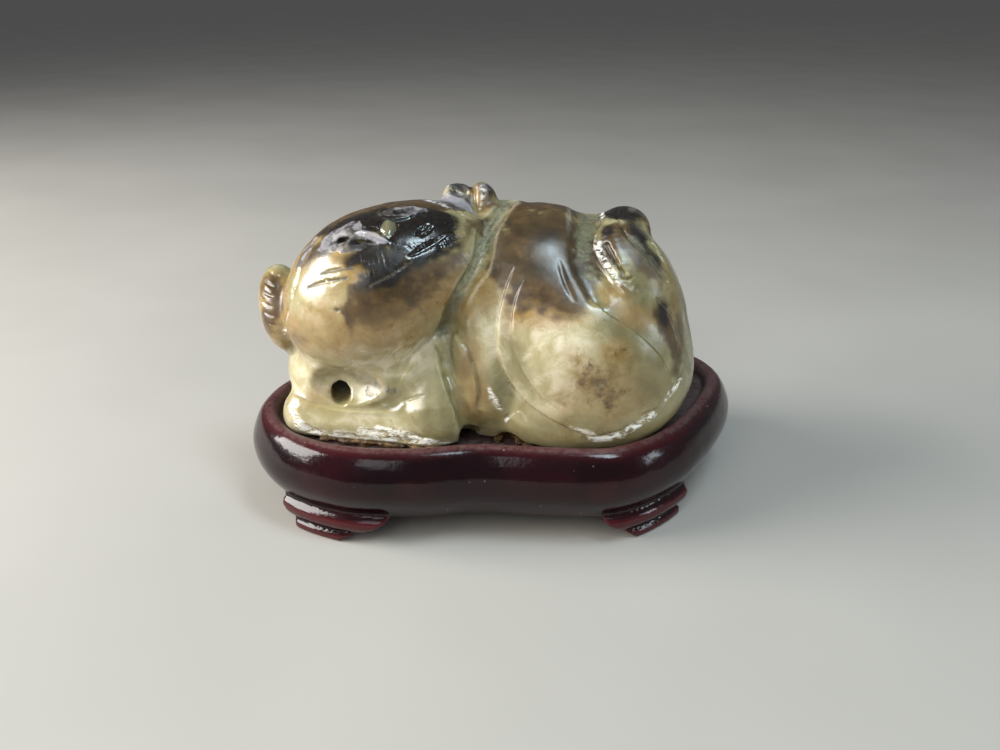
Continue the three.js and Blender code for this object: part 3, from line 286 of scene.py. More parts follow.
# clouds of colour: channel, centre, half sizes, turn, strength; most are the stone's own, some are painted light or
# shade
CLOUDS = [
    ('dull', (-20.7, -4.8, 30.1), (1.9, 6, 0.7), (-24, -61, -5), 0.8),
    ('dark_and_shadow', (-12.9, -4.2, 34.0), (1.2, 6, 0.7), (-24, -10, -5), 1),
    ('olive_and_shade', (-24.0, -3.9, 24.0), (2.0, 6, 4.2), (-24, 14, -5), 0.7),
    ('brown', (-24.9, -3.5, 24.6), (1.1, 6, 3.6), (-24, 12, -5), 0.45),
    ('amber_and_rim_light', (-22.5, -7.2, 22.5), (2.0, 6, 2.9), (-24, 10, -5), 0.5),
    ('brown', (-1.2, 2.3, 34.6), (1.3, 6, 1.8), (-24, 0, -5), 0.7),
    ('dark_and_shadow', (-1.3, 2.7, 34.8), (1.1, 6, 1.2), (-24, 0, -5), 0.35),
    ('brown', (-15.5, -3.3, 33.6), (3.1, 6, 1.0), (-24, -26, -5), 0.95),
    ('brown', (-12.6, -3.1, 34.2), (2.4, 6, 0.8), (-24, -12, -5), 0.9),
    # painted shade on the far right end of the rump, partly olive stone
    ('olive_and_shade', (18.5, -7.3, 21.2), (1.8, 6, 5.6), (-24, 8, -5), 0.9),
    ('brown', (18.4, -8.0, 20.8), (1.2, 6, 3.8), (-24, 8, -5), 0.6),
    ('pale', (-12.6, -9.2, 19.4), (2.9, 6, 1.4), (-24, -12, -5), 0.9),
    ('pale', (-14.1, -9.0, 18.3), (2.2, 6, 1.1), (-24, -8, -5), 0.5),
    ('mottle', (-20.6, -4.6, 30.3), (1.4, 6, 1.9), (-24, -35, -5), 0.9),
    ('olive_and_shade', (-21.1, -5.7, 29.3), (0.9, 6, 1.1), (-24, -30, -5), 0.5),
    ('brown', (-8.5, -3.5, 34.3), (4.9, 6, 1.2), (-24, -6, -5), 0.95),
    ('amber_and_rim_light', (-7.8, -2.4, 34.4), (4.4, 6, 1.0), (-24, -4, -5), 0.8),
    ('dark_and_shadow', (-10.1, -5.8, 33.7), (3.3, 6, 0.9), (-24, -6, -5), 0.7),
    ('leaf', (-4.6, 0.3, 33.6), (2.1, 6, 0.7), (-24, 37, -5), 0.85),
    ('olive_and_shade', (-1.2, 2.1, 34.4), (1.8, 6, 2.2), (-24, 0, -5), 0.85),
    ('dark_and_shadow', (-1.2, 2.6, 34.7), (1.3, 6, 1.4), (-24, 0, -5), 0.4),
    ('dark_and_shadow', (-18.8, -3.9, 31.9), (1.1, 6, 0.7), (-24, -35, -5), 0.7),
    ('dark_and_shadow', (-18.8, -7.5, 30.4), (1.6, 6, 0.7), (-24, -20, -5), 0.4),
    ('brown', (-13.7, -9.6, 30.7), (2.2, 6, 1.1), (-24, -8, -5), 0.9),
    ('dark_and_shadow', (-11.8, -9.9, 30.3), (2.4, 6, 1.1), (-24, -20, -5), 0.85),
    ('brown', (-12.6, -9.6, 30.7), (2.9, 6, 1.3), (-24, -10, -5), 0.95),
    # painted shadow under the brow leaf
    ('dark_and_shadow', (-14.7, -8.5, 31.6), (1.3, 6, 0.6), (-24, 0, -5), 1),
    ('olive_and_shade', (-7.2, -9.5, 27.6), (3.8, 6, 3.8), (-24, -25, -5), 0.8),
    ('olive_and_shade', (-10.8, -11.0, 25.1), (5.6, 6, 2.2), (-24, -22, -5), 0.5),
    # tan band along the head's upper outline: partly tan skin, partly a painted rim light
    ('amber_and_rim_light', (-21.4, -4.0, 29.5), (1.6, 6, 1.8), (-24, -50, -5), 0.7),
    ('amber_and_rim_light', (-19.5, -3.7, 31.5), (1.8, 6, 1.3), (-24, -45, -5), 0.95),
    ('brown', (-19.1, -3.4, 31.8), (1.6, 6, 0.9), (-24, -42, -5), 0.7),
    ('amber_and_rim_light', (-16.9, -1.1, 33.0), (2.4, 6, 1.0), (-24, -32, -5), 1),
    ('brown', (-16.7, -1.1, 33.0), (2.4, 6, 0.8), (-24, -30, -5), 0.7),
    ('amber_and_rim_light', (-13.7, -0.7, 34.1), (2.9, 6, 0.9), (-24, -18, -5), 1),
    ('brown', (-13.7, -0.7, 33.8), (2.7, 6, 0.7), (-24, -18, -5), 0.75),
    ('amber_and_rim_light', (-9.9, -0.1, 34.4), (4.0, 6, 1.0), (-24, -3, -5), 1),
    ('brown', (-9.7, -1.1, 34.4), (3.3, 6, 0.7), (-24, -2, -5), 0.6),
    ('amber_and_rim_light', (-6.2, -1.9, 34.1), (2.2, 6, 1.1), (-24, 20, -5), 0.6),
    ('brown', (-19.3, -6.4, 30.7), (2.9, 6, 1.1), (-24, -28, -5), 0.9),
    ('amber_and_rim_light', (-17.9, -8.1, 30.6), (2.9, 6, 1.1), (-24, -14, -5), 0.8),
    ('dark_and_shadow', (-15.7, -9.2, 30.6), (2.4, 6, 1.0), (-24, -4, -5), 0.5),
    ('amber_and_rim_light', (-18.1, -10.7, 26.1), (4.4, 6, 3.8), (-24, -10, -5), 0.4),
    ('mottle', (-19.5, -10.2, 23.6), (2.7, 6, 2.2), (-24, 20, -5), 0.35),
    ('mottle', (-8.2, -10.0, 26.8), (4.0, 6, 3.3), (-24, -30, -5), 0.6),
    ('amber_and_rim_light', (3.5, -0.2, 33.3), (5.8, 6, 1.3), (-24, 2, -5), 0.9),
    ('brown', (3.5, -0.2, 33.3), (5.6, 6, 1.1), (-24, 2, -5), 0.8),
    ('brown', (-4.2, 3.9, 34.9), (1.8, 6, 0.9), (-24, 0, -5), 0.8),
    ('amber_and_rim_light', (-1.9, 2.0, 34.6), (1.6, 6, 2.0), (-24, 0, -5), 0.9),
    ('brown', (-1.4, 2.8, 34.9), (1.0, 6, 1.3), (-24, 0, -5), 0.75),
    ('amber_and_rim_light', (-6.0, 3.7, 35.0), (0.9, 6, 0.9), (-24, 0, -5), 0.6),
    ('amber_and_rim_light', (11.4, 3.8, 32.2), (2.2, 6, 1.6), (-24, 0, -5), 0.6),
    ('amber_and_rim_light', (8.6, 1.0, 31.3), (1.6, 6, 2.9), (-24, 0, -5), 0.5),
    ('dark_and_shadow', (-15.8, -5.1, 33.2), (3.6, 6, 1.2), (-24, -30, -5), 1),
    ('dark_and_shadow', (-18.0, -6.3, 31.7), (2.2, 6, 1.3), (-24, -40, -5), 0.85),
    ('dark_and_shadow', (-13.3, -6.1, 33.4), (2.9, 6, 1.7), (-24, -14, -5), 1),
    ('dark_and_shadow', (-9.7, -6.6, 33.2), (4.0, 6, 2.7), (-24, -8, -5), 1),
    ('dark_and_shadow', (-6.5, -6.2, 32.8), (2.9, 6, 2.2), (-24, 14, -5), 1),
    ('dark_and_shadow', (-10.6, -8.7, 31.6), (4.0, 6, 1.6), (-24, -10, -5), 1),
    ('dark_and_shadow', (-7.8, -8.3, 31.4), (3.1, 6, 1.6), (-24, -20, -5), 0.85),
    ('dark_and_shadow', (-14.3, -9.8, 30.4), (2.2, 6, 1.7), (-24, 0, -5), 0.75),
    ('dark_and_shadow', (-12.4, -10.6, 29.1), (3.6, 6, 1.3), (-24, -24, -5), 0.95),
    ('dark_and_shadow', (-9.7, -9.6, 30.2), (2.4, 6, 1.0), (-24, -24, -5), 0.8),
    ('brown', (-11.1, -10.7, 28.3), (5.8, 6, 2.4), (-24, -24, -5), 1),
    ('brown', (-7.9, -9.4, 29.5), (3.3, 6, 2.2), (-24, -30, -5), 0.65),
    ('brown', (-13.8, -11.2, 27.7), (2.7, 6, 1.4), (-24, 0, -5), 0.85),
    ('brown', (-5.0, -6.7, 31.5), (1.8, 6, 2.4), (-24, 20, -5), 0.55),
    ('brown', (-14.6, -11.6, 25.2), (1.8, 6, 1.4), (-24, -10, -5), 0.55),
    ('brown', (-12.0, -11.3, 26.1), (3.3, 6, 1.8), (-24, -20, -5), 0.5),
    ('brown', (-16.1, -11.4, 25.8), (0.6, 6, 3.3), (-24, 0, -5), 0.55),
    ('amber_and_rim_light', (-15.7, -9.9, 29.8), (1.7, 6, 2.2), (-24, 0, -5), 0.9),
    ('amber_and_rim_light', (-11.2, -11.1, 25.8), (7.3, 6, 3.8), (-24, -24, -5), 0.85),
    ('amber_and_rim_light', (-18.2, -10.8, 23.8), (4.9, 6, 2.9), (-24, 10, -5), 0.55),
    ('amber_and_rim_light', (-22.1, -7.8, 22.3), (2.0, 6, 2.0), (-24, 20, -5), 0.7),
    ('amber_and_rim_light', (-14.1, -11.3, 22.8), (5.8, 6, 2.0), (-24, -14, -5), 0.6),
    ('amber_and_rim_light', (-6.6, -9.2, 27.3), (2.9, 6, 4.4), (-24, 25, -5), 0.7),
    ('brown', (-22.1, -7.7, 22.0), (1.3, 6, 1.2), (-24, 30, -5), 0.5),
    ('pale', (-18.9, -10.3, 26.1), (3.8, 6, 2.4), (-24, -12, -5), 0.55),
    ('amber_and_rim_light', (-24.9, -3.6, 24.2), (2.7, 6, 5.3), (-24, 8, -5), 1),
    ('brown', (-25.1, -2.2, 26.0), (1.6, 6, 2.4), (-24, 8, -5), 0.6),
    ('brown', (-25.5, -3.6, 22.6), (1.6, 6, 1.8), (-24, 8, -5), 0.7),
    ('pale', (-12.8, -9.3, 19.5), (8.0, 6, 2.9), (-24, -14, -5), 1),
    ('pale', (-10.4, -9.1, 20.6), (4.9, 6, 2.0), (-24, -24, -5), 1),
    ('pale', (-11.2, -8.5, 17.9), (3.3, 6, 2.4), (-24, 0, -5), 0.9),
    ('pale', (-22.5, -5.0, 16.8), (3.3, 6, 3.3), (-24, 30, -5), 0.8),
    ('pale', (-17.2, -8.7, 12.0), (7.8, 6, 1.6), (-24, 3, -5), 0.8),
    ('pale', (-17.1, -6.6, 15.5), (4.9, 6, 1.3), (-24, 0, -5), 0.6),
    ('olive_and_shade', (-16.9, -7.2, 15.0), (5.3, 6, 1.7), (-24, 0, -5), 0.45),
    ('olive_and_shade', (-8.2, -10.8, 15.2), (3.8, 6, 4.9), (-24, 0, -5), 0.85),
    ('olive_and_shade', (-7.3, -7.7, 19.7), (2.9, 6, 2.4), (-24, -20, -5), 0.5),
    ('pale', (-9.8, -9.1, 16.7), (1.6, 6, 3.3), (-24, 14, -5), 0.45),
    ('amber_and_rim_light', (-3.1, -7.9, 27.2), (2.4, 6, 4.0), (-24, 20, -5), 0.7),
    ('olive_and_shade', (-4.1, -8.5, 25.7), (2.2, 6, 4.4), (-24, 10, -5), 0.7),
    ('olive_and_shade', (-4.8, -10.0, 17.4), (2.0, 6, 4.9), (-24, 0, -5), 0.8),
    ('amber_and_rim_light', (-4.3, -10.3, 18.5), (1.6, 6, 4.9), (-24, 6, -5), 0.6),
    ('brown', (-4.7, -9.9, 19.2), (0.8, 6, 3.3), (-24, 8, -5), 0.4),
    # pale belly: partly the stone's own cream, partly a painted highlight streak
    ('pale', (-2.4, -10.1, 23.0), (1.8, 6, 5.6), (-24, 0, -5), 0.8),
    # painted shade on the low belly, partly olive stone
    ('olive_and_shade', (-2.1, -11.1, 16.5), (2.7, 6, 4.0), (-24, 0, -5), 0.95),
    ('olive_and_shade', (-2.9, -10.4, 13.5), (2.7, 6, 2.0), (-24, 0, -5), 0.9),
    ('amber_and_rim_light', (-3.2, -10.7, 14.9), (2.0, 6, 2.7), (-24, 0, -5), 0.4),
    ('brown', (3.0, -4.5, 32.0), (6.9, 6, 4.7), (-24, 0, -5), 1),
    ('brown', (4.7, -7.8, 29.3), (5.3, 6, 4.9), (-24, 0, -5), 1),
    ('brown', (0.5, -7.1, 29.4), (3.1, 6, 4.9), (-24, 20, -5), 0.9),
    ('dark_and_shadow', (3.0, -4.5, 32.0), (5.6, 6, 2.2), (-24, 4, -5), 0.42),
    ('dark_and_shadow', (4.9, -6.8, 30.2), (4.4, 6, 3.3), (-24, 4, -5), 0.4),
    ('dark_and_shadow', (6.4, -9.5, 27.7), (2.4, 6, 2.4), (-24, 0, -5), 0.35),
    ('dark_and_shadow', (0.0, -5.2, 31.0), (1.8, 6, 3.1), (-24, 20, -5), 0.35),
    ('dark_and_shadow', (2.6, -8.1, 28.8), (3.8, 6, 2.0), (-24, 0, -5), 0.3),
    ('brown', (3.3, -5.9, 31.1), (7.1, 6, 6.2), (-24, 0, -5), 0.9),
    ('brown', (5.1, -9.6, 27.5), (3.8, 6, 3.1), (-24, 0, -5), 0.7),
    ('amber_and_rim_light', (2.8, -10.4, 25.9), (4.9, 6, 2.7), (-24, 0, -5), 0.9),
    ('brown', (2.3, -9.9, 26.4), (3.1, 6, 1.6), (-24, 0, -5), 0.65),
    ('amber_and_rim_light', (-0.3, -9.2, 25.8), (1.1, 6, 4.9), (-24, 6, -5), 0.5),
    ('pale', (4.1, -13.6, 19.6), (5.8, 6, 5.1), (-24, 0, -5), 0.75),
    ('pale', (5.1, -12.9, 23.2), (4.4, 6, 2.9), (-24, 0, -5), 0.6),
    # painted shade on the right-hand side and lower edge of the haunch, partly olive stone
    ('olive_and_shade', (10.8, -11.5, 25.2), (3.8, 6, 3.3), (-24, 20, -5), 0.7),
    ('olive_and_shade', (14.1, -13.2, 18.6), (2.9, 6, 4.7), (-24, -15, -5), 0.95),
    ('olive_and_shade', (7.1, -14.3, 13.7), (7.3, 6, 1.7), (-24, 2, -5), 0.7),
    ('olive_and_shade', (0.7, -11.7, 19.6), (1.0, 6, 4.4), (-24, -20, -5), 0.45),
    ('dark_and_shadow', (8.6, -14.4, 18.7), (1.3, 6, 0.6), (-24, -10, -5), 0.5),
    ('mottle', (8.5, -14.4, 18.9), (5.3, 6, 3.3), (-24, -10, -5), 0.95),
    ('mottle', (9.8, -14.4, 16.4), (3.8, 6, 2.2), (-24, 0, -5), 0.9),
    ('brown', (8.8, -14.4, 18.6), (2.2, 6, 1.0), (-24, -10, -5), 0.35),
    ('amber_and_rim_light', (9.2, -14.4, 17.5), (7.3, 6, 5.1), (-24, 0, -5), 0.6),
    ('mottle', (10.5, -13.7, 21.6), (1.8, 6, 1.3), (-24, 0, -5), 0.8),
    ('mottle', (6.0, -13.2, 22.8), (4.4, 6, 2.2), (-24, 0, -5), 0.35),
    ('mottle', (-11.2, -11.1, 24.9), (6.7, 6, 2.4), (-24, -20, -5), 0.6),
    ('mottle', (13.2, -9.7, 25.6), (3.8, 6, 3.3), (-24, 20, -5), 0.45),
    ('mottle', (17.6, -8.7, 21.7), (2.0, 6, 5.6), (-24, -8, -5), 0.6),
    ('amber_and_rim_light', (10.5, -13.7, 21.6), (2.0, 6, 1.7), (-24, 0, -5), 0.7),
    ('brown', (10.7, -13.6, 21.6), (0.8, 6, 0.7), (-24, 0, -5), 0.3),
    ('amber_and_rim_light', (6.0, -14.0, 20.3), (2.7, 6, 2.2), (-24, 0, -5), 0.3),
    # painted shade on the right-hand side of the rump and tail lobe, partly olive stone
    ('olive_and_shade', (8.5, -3.6, 30.5), (2.4, 6, 5.3), (-24, 0, -5), 0.9),
    ('olive_and_shade', (13.2, -9.7, 25.6), (4.7, 6, 4.9), (-24, 30, -5), 0.9),
    ('olive_and_shade', (18.1, -7.3, 22.4), (2.7, 6, 7.3), (-24, -8, -5), 1),
    ('olive_and_shade', (13.6, -7.4, 28.9), (3.3, 6, 3.8), (-24, 0, -5), 0.7),
    ('dark_and_shadow', (13.4, 0.4, 32.3), (3.8, 6, 1.7), (-24, 0, -5), 0.95),
    ('dark_and_shadow', (10.3, -4.0, 31.3), (1.1, 6, 2.0), (-24, 0, -5), 0.85),
    ('dark_and_shadow', (14.2, -4.0, 31.2), (1.6, 6, 2.0), (-24, 45, -5), 0.75),
    ('brown', (11.4, -5.2, 31.1), (3.3, 6, 2.9), (-24, 0, -5), 0.8),
    ('brown', (14.3, -6.9, 29.2), (1.3, 6, 3.3), (-24, -38, -5), 0.9),
    ('dark_and_shadow', (14.9, -6.1, 29.6), (0.8, 6, 2.4), (-24, -38, -5), 0.7),
    ('brown', (16.2, -9.6, 23.0), (1.3, 6, 3.8), (-24, -12, -5), 1),
    ('dark_and_shadow', (16.1, -9.0, 23.7), (0.8, 6, 2.0), (-24, -12, -5), 0.85),
    ('brown', (9.3, -7.6, 28.5), (1.1, 6, 2.2), (-24, 20, -5), 0.85),
    ('amber_and_rim_light', (11.8, -10.6, 25.7), (4.9, 6, 2.2), (-24, 34, -5), 0.8),
    ('brown', (17.3, -10.4, 20.0), (1.0, 6, 3.8), (-24, -8, -5), 0.6),
    ('amber_and_rim_light', (18.1, -5.8, 25.2), (2.2, 6, 4.4), (-24, -10, -5), 0.5),
    ('brown', (21.0, -1.0, 22.3), (0.8, 6, 4.9), (-24, -6, -5), 0.5),
    ('dull', (-17.2, -6.8, 31.9), (2.7, 6, 1.3), (-24, -18, -5), 0.85),
    ('dull', (-16.0, -6.2, 32.7), (1.4, 6, 0.9), (-24, -30, -5), 0.8),
    ('dull', (-15.7, -8.3, 31.5), (1.6, 6, 0.7), (-24, -10, -5), 0.7),
    ('dull', (-10.9, -4.6, 34.1), (2.9, 6, 0.6), (-24, -6, -5), 0.9),
    ('leaf', (-13.7, -7.9, 32.3), (1.7, 6, 0.5), (-24, 20, -5), 1),
    ('dull', (-4.8, 0.4, 33.7), (1.9, 6, 2.1), (-24, 30, -5), 1),
    ('dull', (-6.8, -1.0, 34.2), (2.0, 6, 0.7), (-24, 8, -5), 0.8),
    ('dull', (-1.9, 2.5, 35.0), (1.1, 6, 1.0), (-24, 0, -5), 0.5),
    ('dull', (-14.0, -8.4, 15.9), (2.2, 6, 1.0), (-24, 0, -5), 0.45),
    ('amber_and_rim_light', (-20.5, -6.8, 14.7), (2.9, 6, 1.3), (-24, 0, -5), 0.4),
    # painted highlight: narrow streak down the belly
    ('pale', (-0.7, -10.3, 23.0), (0.7, 6, 5.8), (-24, 3, -5), 0.9),
    ('drop', (-12.1, -7.1, 33.0), (0.7, 6, 1.1), (-24, 10, -5), 1),
    ('brown', (-14.0, 0.2, 33.6), (7.0, 4.6, 3.2), (0, -22, 0), 1),
    ('dark_and_shadow', (-11.5, 0.4, 34.2), (5.5, 2.6, 2.2), (0, -12, 0), 0.6),
    ('amber_and_rim_light', (-18.2, -1.2, 32.0), (5.5, 5.0, 3.4), (0, -30, 0), 0.95),
    ('brown', (-17.6, -2.4, 32.6), (3.6, 2.4, 2.2), (0, -30, 0), 0.8),
    ('brown', (-8.2, 0.0, 34.4), (4.6, 3.6, 2.2), (0, 0, 0), 0.85),
    # tan on the head's left outline: partly tan skin, partly a painted rim light
    ('amber_and_rim_light', (-21.4, -3.4, 29.6), (2.8, 3.4, 3.6), (0, -40, 0), 0.75),
    ('brown', (3.5, 5.0, 32.0), (9.0, 6.0, 5.0), (0, 0, 0), 0.85),
    ('dark_and_shadow', (4.5, 2.0, 33.2), (6.0, 4.0, 2.4), (0, 0, 0), 0.4),
    ('amber_and_rim_light', (-9.0, 6.5, 27.0), (8.0, 5.0, 7.0), (0, -20, 0), 0.8),
    ('brown', (-10.5, 5.0, 31.0), (6.0, 4.0, 4.0), (0, -20, 0), 0.75),
    ('mottle', (9.0, 10.5, 20.0), (9.0, 4.0, 8.0), (0, 20, 0), 0.7),
    ('olive_and_shade', (14.0, 8.0, 17.0), (9.0, 7.0, 9.0), (0, 0, 0), 0.8),
    ('pale', (4.0, 11.0, 17.0), (7.0, 4.0, 7.0), (0, 0, 0), 0.6),
    ('pale', (-15.0, 8.0, 15.0), (8.0, 5.0, 6.0), (0, 0, 0), 0.7),
    ('olive_and_shade', (20.5, 0.0, 20.0), (4.0, 9.0, 10.0), (0, 0, 0), 0.8),
    ('mottle', (20.0, 2.0, 22.0), (4.0, 8.0, 8.0), (0, 0, 0), 0.7),
    ('brown', (14.5, 1.5, 31.5), (4.5, 3.5, 3.0), (0, 0, 0), 0.9),
]
# marks along lines: channel, points, start and end radius, strength
MARKS = [
    # painted shadow under the brow leaf
    ('cut_shade', [(-15.8, -7.5, 32.1), (-15.3, -7.6, 32.2), (-14.7, -7.8, 32.2), (-14.2, -8.1, 32.1)], 0.26, 0.2, 0.9),
    ('cut_shade', [(-15.7, -7.7, 32.0), (-15.0, -7.9, 32.0), (-14.2, -8.2, 32.0)], 0.3, 0.25, 0.95),
    # white chips along the base edge, partly painted glints
    ('chip_and_glint', [(-23.0, -7.1, 11.5), (-22.1, -7.3, 11.0), (-20.6, -7.6, 10.6), (-18.6, -8.1, 10.4)], 0.55, 0.45, 1),
    ('chip_and_glint', [(-18.8, -8.3, 10.9), (-16.6, -8.9, 10.9), (-14.5, -9.5, 11.0)], 0.45, 0.4, 1),
    ('chip_and_glint', [(-13.6, -9.7, 11.0), (-11.5, -10.3, 11.0), (-9.4, -11.0, 11.0), (-7.0, -10.9, 10.6)], 0.5, 0.35, 1),
    ('chip_and_glint', [(-14.2, -9.6, 11.9), (-13.1, -9.9, 11.8), (-11.9, -10.3, 11.9)], 0.4, 0.3, 1),
    ('chip_and_glint', [(-23.5, -6.4, 13.0), (-22.9, -7.1, 12.1), (-22.3, -7.3, 11.3)], 0.4, 0.4, 0.8),
    ('chip_and_glint', [(10.2, -13.8, 11.9), (12.1, -13.6, 12.6), (13.6, -13.3, 13.2), (15.0, -12.7, 13.9)], 0.45, 0.3, 1),
    ('chip_and_glint', [(8.5, -13.8, 11.7), (9.8, -13.8, 11.7), (11.1, -13.7, 11.9)], 0.35, 0.3, 0.9),
    # painted shade: black at the bottoms of the eye pits, the cuts around the eyes, the cheek lines and the horn's
    # hollow, and under the brow leaf
    ('pit', [(-17.1, -6.8, 31.9), (-16.4, -7.1, 32.1)], 0.56, 0.56, 1),
    ('pit', [(-11.5, -4.5, 34.1), (-10.4, -4.5, 34.2)], 0.52, 0.5, 1),
    ('pit', [(-15.8, -7.9, 31.8), (-15.1, -8.1, 31.9), (-14.2, -8.3, 31.9), (-13.3, -8.7, 31.8)], 0.56, 0.5, 1),
    ('cut_shade', [(-15.7, -8.3, 31.6), (-14.9, -8.6, 31.5), (-14.1, -8.6, 31.7)], 0.36, 0.2, 0.95),
    ('cut_shade', [(-15.6, -10.9, 28.1), (-14.9, -11.1, 27.8), (-14.1, -11.1, 27.8)], 0.12, 0.1, 0.8),
    ('cut_shade', [(-16.1, -11.1, 27.1), (-16.4, -11.3, 25.8), (-16.5, -11.4, 24.6)], 0.1, 0.08, 0.45),
    ('pit', [(-13.4, -4.7, 33.8), (-11.9, -5.8, 33.6), (-10.5, -5.8, 33.7)], 0.45, 0.4, 0.8),
    ('pit', [(-5.2, 3.6, 34.8), (-4.4, 3.9, 34.9), (-3.7, 3.4, 34.8)], 0.75, 0.7, 0.95),
    ('cut_shade', [(-13.4, -4.9, 33.8), (-12.1, -5.9, 33.6), (-10.7, -6.0, 33.6), (-8.9, -5.0, 33.9)], 0.2, 0.2, 0.7),
    ('pit', [(-17.7, -10.9, 25.9), (-17.1, -11.1, 25.9)], 0.35, 0.35, 0.7),
    # painted shade along the cuts on the tail lobe and the cheek lines
    ('cut_shade', [(14.9, -1.0, 31.2), (15.6, -4.3, 30.0), (16.6, -5.5, 28.3)], 0.3, 0.25, 0.7),
    ('cut_shade', [(-18.9, -8.8, 29.0), (-17.3, -9.4, 29.5), (-15.7, -9.9, 29.8)], 0.15, 0.15, 0.85),
    ('cut_shade', [(-20.4, -8.5, 27.5), (-18.5, -9.6, 28.4), (-16.3, -10.3, 28.9)], 0.16, 0.16, 0.85),
    ('green', [(0.7, 2.1, 33.0), (-1.5, -3.1, 31.3), (-3.6, -6.4, 29.1), (-5.1, -7.7, 26.7), (-6.3, -7.5, 24.1), (-6.8, -6.4, 21.7)], 1.25, 0.9, 1),
    ('cut', [(0.0, 1.6, 32.9), (-2.1, -2.9, 31.4), (-4.1, -7.2, 29.4), (-5.6, -8.5, 27.1)], 0.1, 0.08, 0.8),
    ('cut', [(0.6, 1.5, 32.8), (-1.6, -3.3, 31.2), (-3.6, -6.4, 29.0), (-5.2, -7.7, 26.5)], 0.07, 0.06, 0.6),
    ('cut', [(1.0, -0.6, 33.2), (-1.0, -4.4, 31.4), (-2.9, -6.2, 28.8), (-4.6, -7.7, 26.3)], 0.12, 0.08, 0.8),
    # tan band along the head's upper outline: partly tan skin, partly a painted rim light
    ('amber_and_rim_light', [(-20.9, -4.7, 29.9), (-19.0, -4.1, 31.7), (-16.6, -1.7, 33.1), (-13.9, -0.9, 33.8), (-10.8, -1.3, 34.4), (-7.8, -1.0, 34.3)], 0.5, 0.6, 0.8),
    ('green', [(-6.8, -6.4, 22.3), (-6.6, -7.2, 20.3), (-6.1, -8.4, 18.1)], 1, 0.6, 0.5),
    ('green', [(10.5, 4.0, 32.1), (9.0, -0.9, 30.9), (8.0, -5.6, 29.8), (8.2, -8.1, 28.0)], 1.3, 0.9, 0.9),
    ('green', [(17.8, -4.7, 26.9), (19.0, -4.3, 24.5), (20.3, -3.2, 21.2)], 0.9, 0.9, 0.6),
    ('green', [(13.0, -5.7, 30.8), (14.3, -6.7, 29.3), (15.8, -7.4, 27.1)], 0.8, 0.8, 0.4),
    ('chip_and_glint', [(11.5, 3.8, 31.9), (10.6, -1.1, 31.6), (9.7, -2.5, 31.0), (9.1, -4.1, 30.5)], 0.22, 0.3, 1),
    # white patch below the tail lobe's edge: partly a chip, partly a painted highlight
    ('chip_and_glint', [(9.4, -4.9, 30.2), (9.8, -6.3, 29.3), (10.5, -7.6, 28.2), (11.1, -8.9, 27.1)], 0.55, 0.35, 0.9),
    ('chip_and_glint', [(-22.6, -7.3, 11.7), (-21.4, -7.5, 11.0), (-19.7, -7.9, 10.7)], 0.5, 0.35, 1),
    ('chip_and_glint', [(-19.5, -8.0, 10.7), (-17.1, -8.7, 10.6), (-14.9, -9.3, 10.6), (-11.9, -10.2, 10.7), (-8.7, -11.1, 10.7), (-6.6, -10.7, 10.4)], 0.3, 0.3, 1),
    ('chip_and_glint', [(-16.1, -9.1, 11.6), (-14.2, -9.6, 11.5), (-12.5, -10.1, 11.4)], 0.35, 0.3, 0.9),
    ('chip_and_glint', [(-11.4, -10.4, 11.6), (-10.2, -10.8, 11.4), (-8.7, -11.1, 11.1)], 0.3, 0.3, 0.9),
    ('chip_and_glint', [(-13.4, -9.0, 14.2), (-12.4, -9.2, 14.0), (-11.5, -9.1, 14.5)], 0.22, 0.18, 0.8),
    ('chip_and_glint', [(-2.4, -11.1, 16.6), (-1.9, -11.1, 15.4), (-1.1, -10.9, 14.1)], 0.4, 0.25, 1),
    ('chip_and_glint', [(7.8, -13.9, 12.0), (10.1, -13.9, 12.2), (12.3, -13.7, 12.9)], 0.28, 0.25, 0.9),
    ('chip_and_glint', [(11.8, -13.8, 13.0), (13.3, -13.5, 13.7), (14.8, -12.8, 14.2)], 0.35, 0.25, 0.9),
    ('chip_and_glint', [(5.7, -14.0, 13.4), (6.9, -14.2, 13.1), (8.2, -14.2, 12.7)], 0.25, 0.2, 0.6),
    ('chip_and_glint', [(16.4, -11.9, 15.6), (17.3, -11.2, 16.2), (18.1, -10.3, 16.7)], 0.35, 0.3, 0.9),
    ('chip_and_glint', [(-0.6, -10.8, 12.9), (-0.1, -11.3, 13.9), (0.6, -11.9, 14.4), (1.3, -12.4, 13.7)], 0.16, 0.16, 0.8),
    ('chip_and_glint', [(-21.4, -5.9, 28.8), (-22.2, -6.8, 26.5), (-22.8, -6.7, 24.3), (-23.9, -4.0, 20.9)], 0.25, 0.22, 0.8),
    ('chip_and_glint', [(-24.6, -4.0, 13.3), (-23.5, -6.4, 13.0), (-22.6, -7.3, 11.7)], 0.25, 0.25, 0.6),
    ('chip_and_glint', [(-8.0, -1.1, 34.4), (-7.0, -2.1, 34.3), (-6.2, -2.9, 34.0)], 0.25, 0.3, 0.8),
    ('chip_and_glint', [(-6.1, 3.7, 35.0), (-4.9, 3.4, 34.4), (-3.8, 2.6, 34.2)], 0.2, 0.2, 0.9),
    ('chip_and_glint', [(-2.6, 2.7, 34.9), (-1.9, 2.0, 34.6), (-2.2, 1.3, 33.7), (-2.4, 0.8, 32.9)], 0.28, 0.15, 0.8),
    ('chip_and_glint', [(15.9, -12.2, 14.8), (16.4, -11.9, 15.4), (16.4, -11.8, 16.0)], 0.2, 0.2, 0.7),
    ('cut', [(-14.1, -11.0, 28.3), (-12.0, -10.5, 29.2), (-9.8, -9.5, 30.3)], 0.05, 0.05, 0.25),
]


